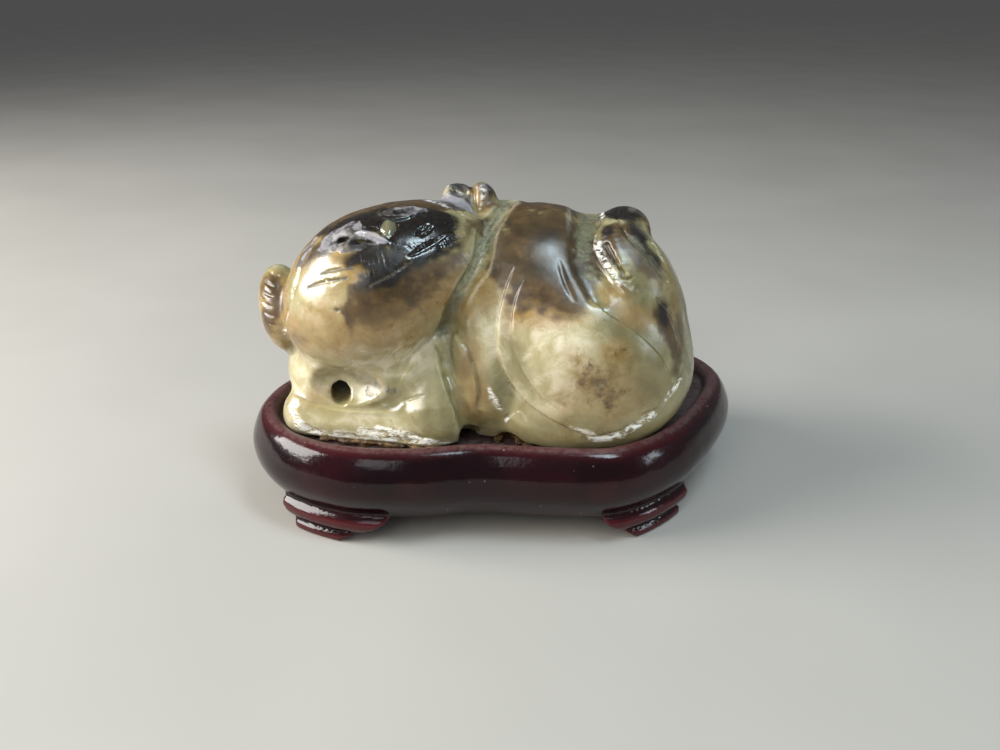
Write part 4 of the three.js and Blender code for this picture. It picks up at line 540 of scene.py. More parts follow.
# ------------------------------------------------------------ jade: whole shape
def mass(P, list_):
    d = None
    for q in list_:
        if q[0] == 'E':
            s, k = ellipsoid(P, q[1], q[2], q[3]), (q[4] if len(q) > 4 else 0)
        else:
            s, k = limb(P, q[1], q[2], q[3], q[4]), (q[5] if len(q) > 5 else 0)
        d = s if d is None else join(d, s, k)
    return d


def cutter(P, q):
    if q[1] == 'E':
        return ellipsoid(P, q[2], q[3], q[4])
    line = through(q[2], 3)
    return swept(P, line, np.linspace(q[3], q[4], len(line)))


def rough_jade(P):
    """The masses and the larger carving, as in the solid."""
    d = None
    for name, soft, list_ in MASSES:
        s = mass(P, list_)
        d = s if d is None else join(d, s, soft)
    d = carve(d, P[:, 2] - F(JADE_BASE), BASE_EDGE)     # flat underside
    for q in HOLLOWS:
        d = carve(d, cutter(P, q), q[5])
    return d


def near(P, pts, reach):
    pts = np.array(pts, float).reshape(-1, 3)
    lo, hi = pts.min(0) - reach, pts.max(0) + reach
    return np.nonzero(((P > F(lo)) & (P < F(hi))).all(1))[0]


def skin(shape, low, high, h):
    """Surface of a shape as quads: sampled coarsely, then finely near the surface."""
    low = np.array(low, float)
    m = np.ceil((np.array(high, float) - low) / (4 * h)).astype(int)
    n = m * 4 + 1
    D = np.full(n, 1e3, np.float32)
    # coarse pass at every fourth node
    g = [np.arange(0, s, 4) for s in n]
    I, J, K = np.meshgrid(*g, indexing='ij')
    P = (np.stack([I, J, K], -1).reshape(-1, 3) * h + low).astype(F)
    C = shape(P).reshape(I.shape)
    D[np.ix_(*g)] = C
    # blocks whose corners come near the surface
    corners = np.stack([C[a:C.shape[0] - 1 + a, b:C.shape[1] - 1 + b, c:C.shape[2] - 1 + c]
                        for a in (0, 1) for b in (0, 1) for c in (0, 1)])
    near_ = (np.abs(corners).min(0) < 4 * h * 1.25) | ((corners < 0).any(0) & (corners > 0).any(0))
    sign = np.where(corners.mean(0) < 0, -1e3, 1e3)
    for ax in range(3):
        sign = np.repeat(sign, 4, axis=ax)
    D[:-1, :-1, :-1] = sign
    nb = near_.copy()
    need = np.zeros(n, bool)
    full = nb
    for ax in range(3):
        full = np.repeat(full, 4, axis=ax)
    need[:-1, :-1, :-1] |= full
    need[1:, :-1, :-1] |= full
    need[:-1, 1:, :-1] |= full
    need[:-1, :-1, 1:] |= full
    need[1:, 1:, :-1] |= full
    need[1:, :-1, 1:] |= full
    need[:-1, 1:, 1:] |= full
    need[1:, 1:, 1:] |= full
    idx = np.argwhere(need)
    val = np.empty(len(idx), np.float32)
    for s in range(0, len(idx), 200000):
        val[s:s + 200000] = shape((idx[s:s + 200000] * h + low).astype(F))
    val[np.abs(val) < 1e-6] = 1e-6
    D[need] = val
    # one point in every cell that the surface crosses
    S = D < 0
    cnt = np.zeros(np.array(n) - 1, np.int8)
    for a in (0, 1):
        for b in (0, 1):
            for c in (0, 1):
                cnt += S[a:n[0] - 1 + a, b:n[1] - 1 + b, c:n[2] - 1 + c]
    cells = np.argwhere((cnt > 0) & (cnt < 8))
    vid = np.full(np.array(n) - 1, -1, np.int64)
    vid[tuple(cells.T)] = np.arange(len(cells))
    acc = np.zeros((len(cells), 3))
    num = np.zeros(len(cells))
    cs = [(a, b, c) for a in (0, 1) for b in (0, 1) for c in (0, 1)]
    for p in cs:
        for ax in range(3):
            if p[ax]:
                continue
            q = list(p)
            q[ax] = 1
            v0 = D[tuple((cells + p).T)]
            v1 = D[tuple((cells + q).T)]
            hit = (v0 < 0) != (v1 < 0)
            t = np.where(hit, v0 / np.where(hit, v0 - v1, 1), 0)
            pos = np.array(p, float)[None].repeat(len(cells), 0)
            pos[:, ax] += t
            acc += pos * hit[:, None]
            num += hit
    V = (cells + acc / num[:, None]) * h + low
    quads = []
    for ax in range(3):
        b, c = [(1, 2), (2, 0), (0, 1)][ax]
        sl0 = [slice(1, -1)] * 3
        sl1 = [slice(1, -1)] * 3
        sl0[ax] = slice(0, n[ax] - 1)
        sl1[ax] = slice(1, n[ax])
        A, B = S[tuple(sl0)], S[tuple(sl1)]
        e = np.argwhere(A != B)
        inside_first = A[tuple(e.T)]
        off = np.array([1, 1, 1])
        off[ax] = 0
        e = e + off
        u = np.zeros(3, int)
        v = np.zeros(3, int)
        u[b] = 1
        v[c] = 1
        q = np.stack([vid[tuple((e - u - v).T)], vid[tuple((e - v).T)], vid[tuple(e.T)], vid[tuple((e - u).T)]], 1)
        q = np.where(inside_first[:, None], q, q[:, ::-1])
        quads.append(q)
    return V, np.concatenate(quads)


def gradient(shape, P, e):
    g = np.zeros((len(P), 3))
    for s in ((1, -1, -1), (-1, -1, 1), (-1, 1, -1), (1, 1, 1)):
        s = np.array(s, float)
        g += s * shape((P + s * e).astype(F))[:, None].astype(float)
    return g / (4 * e)


def settle(shape, V, h, times=2):
    """Moves the points onto the surface, never far."""
    for _ in range(times):
        f = shape(V.astype(F)).astype(float)
        g = gradient(shape, V, 0.35 * h)
        step = -(f / np.maximum((g * g).sum(1), 0.2))[:, None] * g
        size = np.linalg.norm(step, axis=1, keepdims=True)
        V = V + step * np.minimum(1, 0.45 * h / np.maximum(size, 1e-9))
    return V


def mesh_object(name, V, faces, smooth=True):
    me = bpy.data.meshes.new(name)
    V = np.asarray(V, np.float32)
    faces = np.asarray(faces, np.int32)
    k = faces.shape[1]
    me.vertices.add(len(V))
    me.vertices.foreach_set('co', V.ravel() * F(MM))
    me.loops.add(len(faces) * k)
    me.loops.foreach_set('vertex_index', faces.ravel())
    me.polygons.add(len(faces))
    me.polygons.foreach_set('loop_start', np.arange(len(faces), dtype=np.int32) * k)
    me.update(calc_edges=True)
    me.validate()
    me.polygons.foreach_set('use_smooth', np.full(len(me.polygons), smooth))
    ob = bpy.data.objects.new(name, me)
    bpy.context.scene.collection.objects.link(ob)
    return ob


def smooth_step(a, b, x):
    t = np.clip((x - a) / (b - a), 0, 1)
    return t * t * (3 - 2 * t)


def on_skin(points):
    """Points brought onto the rough surface, with the outward direction there."""
    P = np.array(points, float)
    for _ in range(7):
        f = rough_jade(P.astype(F)).astype(float)
        g = gradient(rough_jade, P, 0.06)
        P = P - (f / np.maximum((g * g).sum(1), 0.3))[:, None] * g * 0.9
    g = gradient(rough_jade, P, 0.15)
    return P, g / np.maximum(np.linalg.norm(g, axis=1, keepdims=True), 1e-9)


def make_strokes():
    """Every fine cut and bead as a line of centres with radii."""
    raw = []
    for kind, pts, r0, r1, depth, soft in FINE:
        raw.append((kind, through(pts, 3), r0, r1, depth, soft))
    for A, B, count, r, depth in HATCH:
        a, b = through(A, 8), through(B, 8)
        for k in range(count):
            u = (k + 0.5) / count * (len(a) - 1)
            i = min(int(u), len(a) - 2)
            p = a[i] + (a[i + 1] - a[i]) * (u - i)
            q = b[i] + (b[i + 1] - b[i]) * (u - i)
            t = np.linspace(0, 1, 5)[:, None]
            raw.append(('nick', p * (1 - t) + q * t, r, r, depth, 0.04))
    P, N = on_skin(np.concatenate([q[1] for q in raw]))
    out, at = [], 0
    for kind, line, r0, r1, depth, soft in raw:
        n = len(line)
        p, m = P[at:at + n], N[at:at + n]
        at += n
        t = np.linspace(0, 1, n)
        bow = np.sin(np.pi * np.clip(t, 0.02, 0.98))
        if kind == 'bead':
            r = r0 + (r1 - r0) * bow
            lift = depth * bow ** 0.5 - r
        elif kind == 'nick':
            r = r0 + (r1 - r0) * t
            lift = r - depth * bow ** 0.6
        else:
            r = r0 + (r1 - r0) * t
            lift = r - depth
        out.append((kind, p + m * lift[:, None], r, soft, p))
    return out


def make_ledges():
    """Lines where one form overlaps the next, with the way to the low side."""
    P, N = on_skin(np.concatenate([through(q[0], 3) for q in LEDGES]))
    out, at = [], 0
    for pts, depth, width, side in LEDGES:
        n = 3 * (len(pts) - 1) + 1
        p, m = P[at:at + n], N[at:at + n]
        at += n
        along = np.gradient(p, axis=0)
        low = np.cross(along, m) * side
        out.append((p, m, low / np.linalg.norm(low, axis=1, keepdims=True), depth, width))
    return out


STROKES = make_strokes()
LEDGE_LINES = make_ledges()


def lowered(P, line, m, low, depth, width):
    """How far a ledge lowers the skin at P."""
    best = np.full(len(P), 1e9, F)
    side = np.zeros(len(P), F)
    out = np.zeros(len(P), F)
    part = np.zeros(len(P), F)
    n = len(line) - 1
    for i in range(n):
        a = F(line[i])
        d = F(line[i + 1]) - a
        q = P - a
        h = np.clip((q @ d) / float(d @ d), 0, 1)
        w = q - h[:, None] * d
        dist = (w * w).sum(1)
        c = dist < best
        lw = F(low[i]) + h[:, None] * F(low[i + 1] - low[i])
        nm = F(m[i]) + h[:, None] * F(m[i + 1] - m[i])
        best = np.where(c, dist, best)
        side = np.where(c, (w * lw).sum(1), side)
        out = np.where(c, np.abs((w * nm).sum(1)), out)
        part = np.where(c, (i + h) / n, part)
    off_end = np.sqrt(np.maximum(best - side * side - out * out, 0))
    fade = np.maximum(np.sin(np.pi * part), 0) ** 0.5 * smooth_step(1.2, 0.0, off_end) * smooth_step(2.6, 1.4, out)
    return F(depth) * fade * smooth_step(-0.14, 0.14, side) * smooth_step(width, 0.0, side)


def jade(P):
    d = rough_jade(P)
    close = np.nonzero(np.abs(d) < 2.2)[0]      # fine work only near the skin
    Q = P[close]
    e = d[close]
    for line, m, low, depth, width in LEDGE_LINES:
        i = near(Q, line, width + 0.5)
        if len(i):
            e[i] += lowered(Q[i], line, m, low, depth, width)
    for kind, line, r, soft, _ in STROKES:
        i = near(Q, line, max(r) + soft + 0.5)
        if len(i) == 0:
            continue
        s = swept(Q[i], line, r)
        e[i] = join(e[i], s, soft) if kind == 'bead' else carve(e[i], s, soft)
    d[close] = e
    i = near(P, [HOLE[0], HOLE[1]], 3)
    d[i] = carve(d[i], limb(P[i], HOLE[0], HOLE[1], HOLE_RADIUS, HOLE_RADIUS), 0.12)
    # worn, slightly uneven skin
    return d + F(0.05) * noise(P, 3.1, 11) + F(0.02) * noise(P, 1.1, 12)


def refine(V, T, marked):
    """Splits the marked triangles in four, and their neighbours to fit."""
    E = np.sort(np.concatenate([T[:, [0, 1]], T[:, [1, 2]], T[:, [2, 0]]]), 1)
    U, inv = np.unique(E, axis=0, return_inverse=True)
    inv = inv.reshape(3, -1).T
    split = np.zeros(len(U), bool)
    split[inv[marked].ravel()] = True
    mid = np.full(len(U), -1)
    mid[split] = len(V) + np.arange(split.sum())
    V = np.concatenate([V, (V[U[split, 0]] + V[U[split, 1]]) / 2])
    m = mid[inv]
    on = split[inv]
    count = on.sum(1)
    out = [T[count == 0]]
    for k in range(3):          # one split edge, opposite corner a
        c = (count == 1) & on[:, k]
        i, j, a, q = T[c, k], T[c, (k + 1) % 3], T[c, (k + 2) % 3], m[c, k]
        out += [np.stack([i, q, a], 1), np.stack([q, j, a], 1)]
        c = (count == 2) & ~on[:, k]
        i, j, a = T[c, k], T[c, (k + 1) % 3], T[c, (k + 2) % 3]
        p, q = m[c, (k + 1) % 3], m[c, (k + 2) % 3]
        out += [np.stack([i, j, p], 1), np.stack([i, p, q], 1), np.stack([q, p, a], 1)]
    c = count == 3
    a, b, d = T[c].T
    p, q, r = m[c].T
    out += [np.stack([a, p, r], 1), np.stack([p, b, q], 1), np.stack([r, q, d], 1), np.stack([p, q, r], 1)]
    return V, np.concatenate(out)


def worked_zone(P, margin):
    """True where a point lies close to fine carving."""
    low = np.array([-32.0, -20.0, 6.0])
    cell = 0.5
    grid = np.zeros((124, 80, 70), bool)
    lines = [(q[4], max(q[2])) for q in STROKES] + [(q[0], 0.3) for q in LEDGE_LINES]
    for skin_line, wide in lines:
        fine = np.concatenate([skin_line[i] + (skin_line[i + 1] - skin_line[i]) * t
                               for i in range(len(skin_line) - 1) for t in np.linspace(0, 1, 6)[:, None, None]]).reshape(-1, 3)
        reach = wide + margin
        k = int(np.ceil(reach / cell))
        c = ((fine - low) / cell).astype(int)
        for dx in range(-k, k + 1):
            for dy in range(-k, k + 1):
                for dz in range(-k, k + 1):
                    if dx * dx + dy * dy + dz * dz <= (reach / cell) ** 2:
                        q = np.clip(c + (dx, dy, dz), 0, np.array(grid.shape) - 1)
                        grid[tuple(q.T)] = True
    c = np.clip(((P - low) / cell).astype(int), 0, np.array(grid.shape) - 1)
    return grid[tuple(c.T)]


def vertex_normals(V, T):
    n = np.cross(V[T[:, 1]] - V[T[:, 0]], V[T[:, 2]] - V[T[:, 0]])
    out = np.zeros_like(V)
    for k in range(3):
        for c in range(3):
            out[:, c] += np.bincount(T[:, k], n[:, c], len(V))
    return out / np.maximum(np.linalg.norm(out, axis=1, keepdims=True), 1e-12)


def bulge(V, T, N, rounds):
    """How far the surface stands out (+) or in (-) of its surroundings, mm."""
    E = np.concatenate([T[:, [0, 1]], T[:, [1, 2]], T[:, [2, 0]]])
    E = np.concatenate([E, E[:, ::-1]])
    deg = np.maximum(np.bincount(E[:, 0], minlength=len(V)), 1)
    S = V.copy()
    for _ in range(rounds):
        S = np.stack([np.bincount(E[:, 0], S[E[:, 1], c], len(V)) for c in range(3)], 1) / deg[:, None]
    return ((V - S) * N).sum(1)


def stone_masks(V, N):
    """Where each colour of the stone lies, 0 to 1."""
    P = V.astype(F)
    warp = np.stack([noise(P, 4.2, s) for s in (21, 22, 23)], 1) * F(0.9) \
        + np.stack([noise(P, 1.7, s) for s in (24, 25, 26)], 1) * F(0.45)
    edge = F(0.22) * noise(P, 2.4, 27) + F(0.2) * noise(P, 1.0, 28) + F(0.12) * noise(P, 0.45, 29)
    out = {k: np.zeros(len(V), F) for k in ('dark_and_shadow', 'brown', 'amber_and_rim_light', 'mottle', 'leaf', 'olive_and_shade', 'pale', 'dull', 'drop', 'green', 'chip_and_glint', 'cut', 'cut_shade')}
    for channel, c, r, t, amount in CLOUDS:
        crisp = channel in ('dull', 'drop', 'leaf')
        drift = F(min(1.0, max(0.35, min(r) / 2.2)))    # thin clouds stay where they are put
        base_, e = (P, edge * F(0.25 if channel == 'leaf' else 0.9)) if crisp else (P + warp * drift, edge)
        q = ((base_ - F(c)) @ turned(t)) / F(r)
        d = np.sqrt((q * q).sum(1)) + e
        m = smooth_step(1.08 if crisp else 1.25, 0.8 if crisp else 0.3, d) * F(amount)
        out[channel] = 1 - (1 - out[channel]) * (1 - m)
    flat, way = on_skin([p for m in MARKS for p in m[1]])
    at = 0
    for channel, pts, r0, r1, amount in MARKS:
        own = flat[at:at + len(pts)]
        if channel == 'pit':                    # painted shade: black at the bottom of a cut
            channel, own = 'cut_shade', own - way[at:at + len(pts)] * 0.36
        line = through(own, 4)
        at += len(pts)
        i = near(P, line, max(r0, r1) + 0.8)
        if len(i) == 0:
            continue
        d = swept(P[i], line, np.linspace(r0, r1, len(line)))
        rough = (0.35 if channel in ('chip_and_glint', 'cut') else 0.1 if channel == 'cut_shade' else 0.5) * max(r0, r1)
        d = d + F(rough) * (noise(P[i], 0.5, 31) + F(0.8) * noise(P[i], 1.3, 32))
        m = smooth_step(0.12, -0.5 * max(r0, r1), d) * F(amount)
        out[channel][i] = 1 - (1 - out[channel][i]) * (1 - m)
    return out


# ------------------------------------------------------------------- the stand
def closed_curve(ctrl, count):
    """Closed centripetal curve through the plan's points, evenly stepped."""
    c = np.array(ctrl, float)
    n = len(c)
    out = []
    for i in range(n):
        p = [c[(i + k) % n] for k in (-1, 0, 1, 2)]
        dt = [np.linalg.norm(p[k + 1] - p[k]) ** 0.5 for k in range(3)]
        t1 = (p[1] - p[0]) / dt[0] - (p[2] - p[0]) / (dt[0] + dt[1]) + (p[2] - p[1]) / dt[1]
        t2 = (p[2] - p[1]) / dt[1] - (p[3] - p[1]) / (dt[1] + dt[2]) + (p[3] - p[2]) / dt[2]
        t1, t2 = t1 * dt[1], t2 * dt[1]
        for w in np.arange(0, 1, 1 / 60):
            out.append(p[1] + t1 * w + (-3 * p[1] + 3 * p[2] - 2 * t1 - t2) * w ** 2
                       + (2 * p[1] - 2 * p[2] + t1 + t2) * w ** 3)
    out = np.array(out)
    seg = np.linalg.norm(np.roll(out, -1, 0) - out, axis=1)
    at = np.concatenate([[0], np.cumsum(seg)])
    s = np.arange(count) / count * at[-1]
    ext = np.concatenate([out, out[:1]])
    return np.stack([np.interp(s, at, ext[:, 0]), np.interp(s, at, ext[:, 1])], 1), at[-1]


def polygon_distance(Q, poly):
    """Signed distance of points to a closed polygon, and the nearest edge part."""
    A = poly
    B = np.roll(poly, -1, 0)
    best = np.full(len(Q), 1e9)
    where = np.zeros(len(Q))
    inside = np.zeros(len(Q), bool)
    for k in range(len(A)):
        a, b = A[k], B[k]
        d = b - a
        q = Q - a
        h = np.clip((q @ d) / max(d @ d, 1e-12), 0, 1)
        w = q - h[:, None] * d
        m = (w * w).sum(1)
        c = m < best
        best = np.where(c, m, best)
        where = np.where(c, k + h, where)
        if a[1] != b[1]:
            cross = ((a[1] > Q[:, 1]) != (b[1] > Q[:, 1])) & (
                Q[:, 0] < d[0] * (Q[:, 1] - a[1]) / (b[1] - a[1]) + a[0])
            inside ^= cross
    return np.where(inside, -1, 1) * np.sqrt(best), where


class Chart:
    """Values on a small grid, read between its points."""

    def __init__(self, lo, hi, step, f):
        self.lo, self.step = np.array(lo, float), step
        self.n = (np.ceil((np.array(hi) - self.lo) / step) + 1).astype(int)
        X, Y = np.meshgrid(np.arange(self.n[0]), np.arange(self.n[1]), indexing='ij')
        Q = np.stack([X, Y], -1).reshape(-1, 2) * step + self.lo
        self.values = [v.reshape(X.shape).astype(np.float32) for v in f(Q)]

    def read(self, x, y, which=0):
        u = np.clip((x - self.lo[0]) / self.step, 0, self.n[0] - 1.001)
        v = np.clip((y - self.lo[1]) / self.step, 0, self.n[1] - 1.001)
        i, j = u.astype(np.int64), v.astype(np.int64)
        a, b = (u - i).astype(np.float32), (v - j).astype(np.float32)
        g = self.values[which]
        return (g[i, j] * (1 - a) * (1 - b) + g[i + 1, j] * a * (1 - b)
                + g[i, j + 1] * (1 - a) * b + g[i + 1, j + 1] * a * b)


plan, plan_length = closed_curve(np.array(PLAN) + PLAN_SHIFT, 400)
foot_mid = [(q[0] + q[1]) / 2 for q in FEET]


def plan_values(Q):
    d, w = polygon_distance(Q, plan)
    s = w / len(plan)
    out = [d]
    far = 0.35 * plan_length        # beyond this a foot's other end takes over
    for (a, b, _, _), m in zip(FEET, foot_mid):
        ds = (((s - m + 0.5) % 1) - 0.5) * plan_length
        half = (b - a) * plan_length / 2
        out += [np.maximum(-ds - half, ds - far), np.maximum(ds - half, -ds - far)]
    return out


def section_values(Q):
    line = through([(a, b, 0) for a, b in SECTION], 5)[:, :2]
    poly = np.concatenate([[[-60, SECTION[0][1]]], line, [[-60, SECTION[-1][1]]]])
    return [polygon_distance(Q, poly)[0]]


def foot_values(Q):
    line = through([(d, z, 0) for z, d, _ in FOOT_SECTION], 4)[:, :2]
    inner = np.array([(-FOOT_DEPTH + draw * 0.3, z) for z, d, draw in FOOT_SECTION])[::-1]
    return [polygon_distance(Q, np.concatenate([line, inner]))[0]]


plan_chart = Chart((-35, -23), (35, 23), 0.25, plan_values)
section_chart = Chart((-9, -2), (7, 14), 0.06, section_values)
foot_chart = Chart((-10, -2), (5, 8), 0.06, foot_values)
foot_z = np.array([q[0] for q in FOOT_SECTION])
foot_draw = np.array([q[2] for q in FOOT_SECTION])


def stand(P):
    x, y, z = P[:, 0], P[:, 1], P[:, 2]
    d = plan_chart.read(x, y)
    # the cutter left the outline a little uneven
    dd = d + F(0.10) * noise(P * F((1, 1, 0.35)), 7.0, 3) + F(0.03) * noise(P, 2.2, 4)
    body = section_chart.read(dd, z)
    draw = np.interp(z, foot_z, foot_draw).astype(np.float32)
    sec = foot_chart.read(dd, z)
    for k, (a, b, wa, wb) in enumerate(FEET):
        ends = np.maximum(plan_chart.read(x, y, 1 + 2 * k) + draw * F(wa),
                          plan_chart.read(x, y, 2 + 2 * k) + draw * F(wb))
        foot = carve(sec, -ends, 0.35)
        foot = np.where(sec > 6, 6, foot)
        body = join(body, foot.astype(np.float32), 0.3)
    return body


# ------------------------------------------------------- old glue under the jade
def residue(P):
    """Crumbly old glue along the front of the jade's underside, in the well."""
    q = P - F((JADE_SHIFT, 0, 0))
    lump = F(0.28) * noise(P, 0.9, 51) + F(0.16) * noise(P, 0.4, 52)
    d = rough_jade(q) - F(0.42) + lump
    d = np.maximum(d, P[:, 2] - F(10.25) + lump * F(0.8))
    d = np.maximum(d, F(9.6) - P[:, 2])
    run = np.minimum(np.abs(P[:, 0] + F(13.6)) - F(6.6), np.abs(P[:, 0] - F(0.6)) - F(2.0))
    return np.maximum(d, np.maximum(run, P[:, 1] + F(6.0))).astype(F)


# --------------------------------------------------------------------- materials
class Nodes:
    """Small helper for node trees."""

    def __init__(self, name):
        self.mat = bpy.data.materials.new(name)
        self.mat.use_nodes = True
        self.t = self.mat.node_tree
        self.bsdf = self.t.nodes['Principled BSDF']
        self.pos = self.t.nodes.new('ShaderNodeTexCoord').outputs['Object']

    def link(self, a, b):
        self.t.links.new(a, b)

    def put(self, sock, v):
        if isinstance(v, bpy.types.NodeSocket):
            self.link(v, sock)
        elif isinstance(v, (tuple, list)) and len(v) == 3 and sock.type == 'RGBA':
            sock.default_value = (*v, 1)
        else:
            sock.default_value = v

    def attr(self, name):
        n = self.t.nodes.new('ShaderNodeAttribute')
        n.attribute_name = name
        s = self.t.nodes.new('ShaderNodeSeparateXYZ')
        self.link(n.outputs['Vector'], s.inputs[0])
        return s.outputs[0], s.outputs[1], s.outputs[2]

    def math(self, op, a, b=0.0, c=0.0, clamp=False):
        n = self.t.nodes.new('ShaderNodeMath')
        n.operation = op
        n.use_clamp = clamp
        for k, v in enumerate((a, b, c)):
            self.put(n.inputs[k], v)
        return n.outputs[0]

    def ramp(self, x, a, b, lo=0.0, hi=1.0):
        n = self.t.nodes.new('ShaderNodeMapRange')
        n.interpolation_type = 'SMOOTHSTEP'
        for k, v in zip(('Value', 'From Min', 'From Max', 'To Min', 'To Max'), (x, a, b, lo, hi)):
            self.put(n.inputs[k], v)
        return n.outputs[0]

    def mix(self, f, a, b, mode='MIX'):
        n = self.t.nodes.new('ShaderNodeMix')
        n.data_type = 'RGBA'
        n.blend_type = mode
        n.clamp_factor = True
        self.put(n.inputs[0], f)
        self.put(n.inputs[6], a)
        self.put(n.inputs[7], b)
        return n.outputs[2]

    def noise(self, size_mm, detail=2.0, rough=0.5, stretch=None, seed=0.0, warp=0.0):
        m = self.t.nodes.new('ShaderNodeMapping')
        self.link(self.pos, m.inputs['Vector'])
        s = 1000.0 / size_mm
        m.inputs['Scale'].default_value = [s * k for k in (stretch or (1, 1, 1))]
        m.inputs['Location'].default_value = (seed * 3.1, seed * 7.7, seed * 1.3)
        n = self.t.nodes.new('ShaderNodeTexNoise')
        self.link(m.outputs[0], n.inputs['Vector'])
        n.inputs['Scale'].default_value = 1.0
        n.inputs['Detail'].default_value = detail
        n.inputs['Roughness'].default_value = rough
        n.inputs['Distortion'].default_value = warp
        return n.outputs['Fac']

    def cells(self, size_mm, stretch=None, feature='F1'):
        m = self.t.nodes.new('ShaderNodeMapping')
        self.link(self.pos, m.inputs['Vector'])
        m.inputs['Scale'].default_value = [1000.0 / size_mm * k for k in (stretch or (1, 1, 1))]
        n = self.t.nodes.new('ShaderNodeTexVoronoi')
        n.feature = feature
        self.link(m.outputs[0], n.inputs['Vector'])
        n.inputs['Scale'].default_value = 1.0
        return n.outputs['Distance']

    def bump(self, height, mm, strength=1.0, normal=None):
        n = self.t.nodes.new('ShaderNodeBump')
        n.inputs['Strength'].default_value = strength
        n.inputs['Distance'].default_value = mm * MM
        self.link(height, n.inputs['Height'])
        if normal is not None:
            self.link(normal, n.inputs['Normal'])
        return n.outputs[0]

    def set(self, **kw):
        for k, v in kw.items():
            self.put(self.bsdf.inputs[k.replace('_', ' ')], v)


def rgb(h):
    v = [int(h[i:i + 2], 16) / 255 for i in (0, 2, 4)]
    return tuple(x / 12.92 if x <= 0.04045 else ((x + 0.055) / 1.055) ** 2.4 for x in v)


def jade_material():
    n = Nodes('jade')
    dark_and_shadow, brown, amber_and_rim_light = n.attr('tone_a')
    green, chip_and_glint, dull = n.attr('tone_b')
    hollow, ridge_highlight, drop = n.attr('tone_c')
    cut_shade, cut, olive_and_shade = n.attr('tone_d')
    pale, mottle, leaf = n.attr('tone_e')
    big = n.noise(6.0, 3.0, 0.55, seed=1, warp=0.4)
    mid = n.noise(2.0, 4.0, 0.6, seed=2, warp=0.6)
    fine = n.noise(0.5, 3.0, 0.6, seed=3)
    grain = n.noise(0.16, 2.0, 0.5, seed=4)
    spots = n.math('ADD', n.math('MULTIPLY', n.math('SUBTRACT', mid, 0.5), 1.2),
                   n.math('MULTIPLY', n.math('SUBTRACT', fine, 0.5), 0.6))
    # clouded celadon body
    c = n.mix(n.ramp(big, 0.3, 0.7), rgb('8c825a'), rgb('a0966c'))
    c = n.mix(n.ramp(mid, 0.34, 0.72, 0, 0.5), c, rgb('aea47e'))
    # pale cream zones, with a painted highlight streak down the belly
    c = n.mix(n.math('MULTIPLY', pale, n.ramp(mid, 0.25, 0.6, 0.6, 1.0)), c,
              n.mix(n.ramp(mid, 0.35, 0.7), rgb('bfb48c'), rgb('ddd4bb')))
    # painted shade: darker olive on the foreleg, the low belly and the lower and right-hand sides of the haunch and
    # rump, partly the stone's own olive
    c = n.mix(n.math('MULTIPLY', olive_and_shade, n.ramp(spots, -0.5, 0.4, 0.75, 1.0)), c,
              n.mix(n.ramp(mid, 0.35, 0.7), rgb('625c3a'), rgb('827a54')))
    # brown skin: thin tan first (along the head's upper outline partly a painted rim light), then darker brown, then
    # black (with a painted shadow under the brow leaf)
    c = n.mix(n.math('MULTIPLY', amber_and_rim_light, n.ramp(spots, -0.5, 0.3, 1.0, 0.75)), c,
              n.mix(n.ramp(spots, -0.3, 0.4), rgb('8c6a36'), rgb('aa8a55')))
    tint = n.math('MULTIPLY', n.ramp(n.math('ADD', brown, n.math('MULTIPLY', spots, 0.4)), 0.1, 0.8), n.ramp(brown, 0.0, 0.25))
    c = n.mix(n.math('MULTIPLY', tint, 0.94), c,
              n.mix(n.ramp(spots, -0.3, 0.35), rgb('32240f'), rgb('573f1c')))
    m1 = n.ramp(n.math('ADD', n.math('MULTIPLY', n.noise(1.7, 3.0, 0.6, seed=31), 1.0), n.math('MULTIPLY', mottle, 0.3)), 0.62, 0.95)
    m2 = n.ramp(n.math('ADD', n.noise(0.9, 2.5, 0.6, seed=32), n.math('MULTIPLY', mottle, 0.22)), 0.66, 0.92)
    c = n.mix(n.math('MULTIPLY', n.math('MULTIPLY', m1, n.ramp(mottle, 0.0, 0.5)), 0.8), c, rgb('7c6136'))
    c = n.mix(n.math('MULTIPLY', n.math('MULTIPLY', m2, n.ramp(mottle, 0.1, 0.8)), 0.8), c, rgb('4a3820'))
    black = n.math('MULTIPLY', n.ramp(n.math('ADD', dark_and_shadow, n.math('MULTIPLY', spots, 0.3)), 0.15, 0.9), n.ramp(dark_and_shadow, 0.0, 0.3))
    c = n.mix(black, c, n.mix(n.ramp(fine, 0.3, 0.75), rgb('0d0a08'), rgb('20180f')))
    # specks
    spk = n.ramp(n.cells(0.9), 0.17, 0.06)
    c = n.mix(n.math('MULTIPLY', n.math('MULTIPLY', spk, n.ramp(n.noise(4.0, 1.0, seed=7), 0.5, 0.64)), 0.5), c, rgb('4a3a1e'))
    # carved, unpolished ground and grooves; painted highlight on raised parts, painted shade in hollows and at the
    # bottoms of cuts
    groove = n.mix(n.ramp(n.noise(0.25, 3.0, 0.6, seed=15, stretch=(0.5, 1, 0.5)), 0.3, 0.7), rgb('5d5c42'), rgb('8f8f74'))
    c = n.mix(n.math('MULTIPLY', green, 0.85), c, groove)
    ragged = n.ramp(n.math('ADD', dull, n.math('MULTIPLY', n.math('SUBTRACT', n.noise(0.8, 3, 0.6, seed=9), 0.5), 0.6)), 0.38, 0.58)
    c = n.mix(n.math('MULTIPLY', ragged, n.ramp(dull, 0.0, 0.2, 0.0, 0.88)), c,
              n.mix(n.ramp(n.noise(0.9, 4, 0.65, seed=16), 0.42, 0.6), rgb('332d2b'), rgb('827f82')))
    c = n.mix(n.math('MULTIPLY', leaf, 0.95), c, n.mix(n.ramp(fine, 0.3, 0.7), rgb('8b888f'), rgb('9a979e')))
    c = n.mix(n.math('MULTIPLY', drop, 0.9), c, rgb('6c6951'))
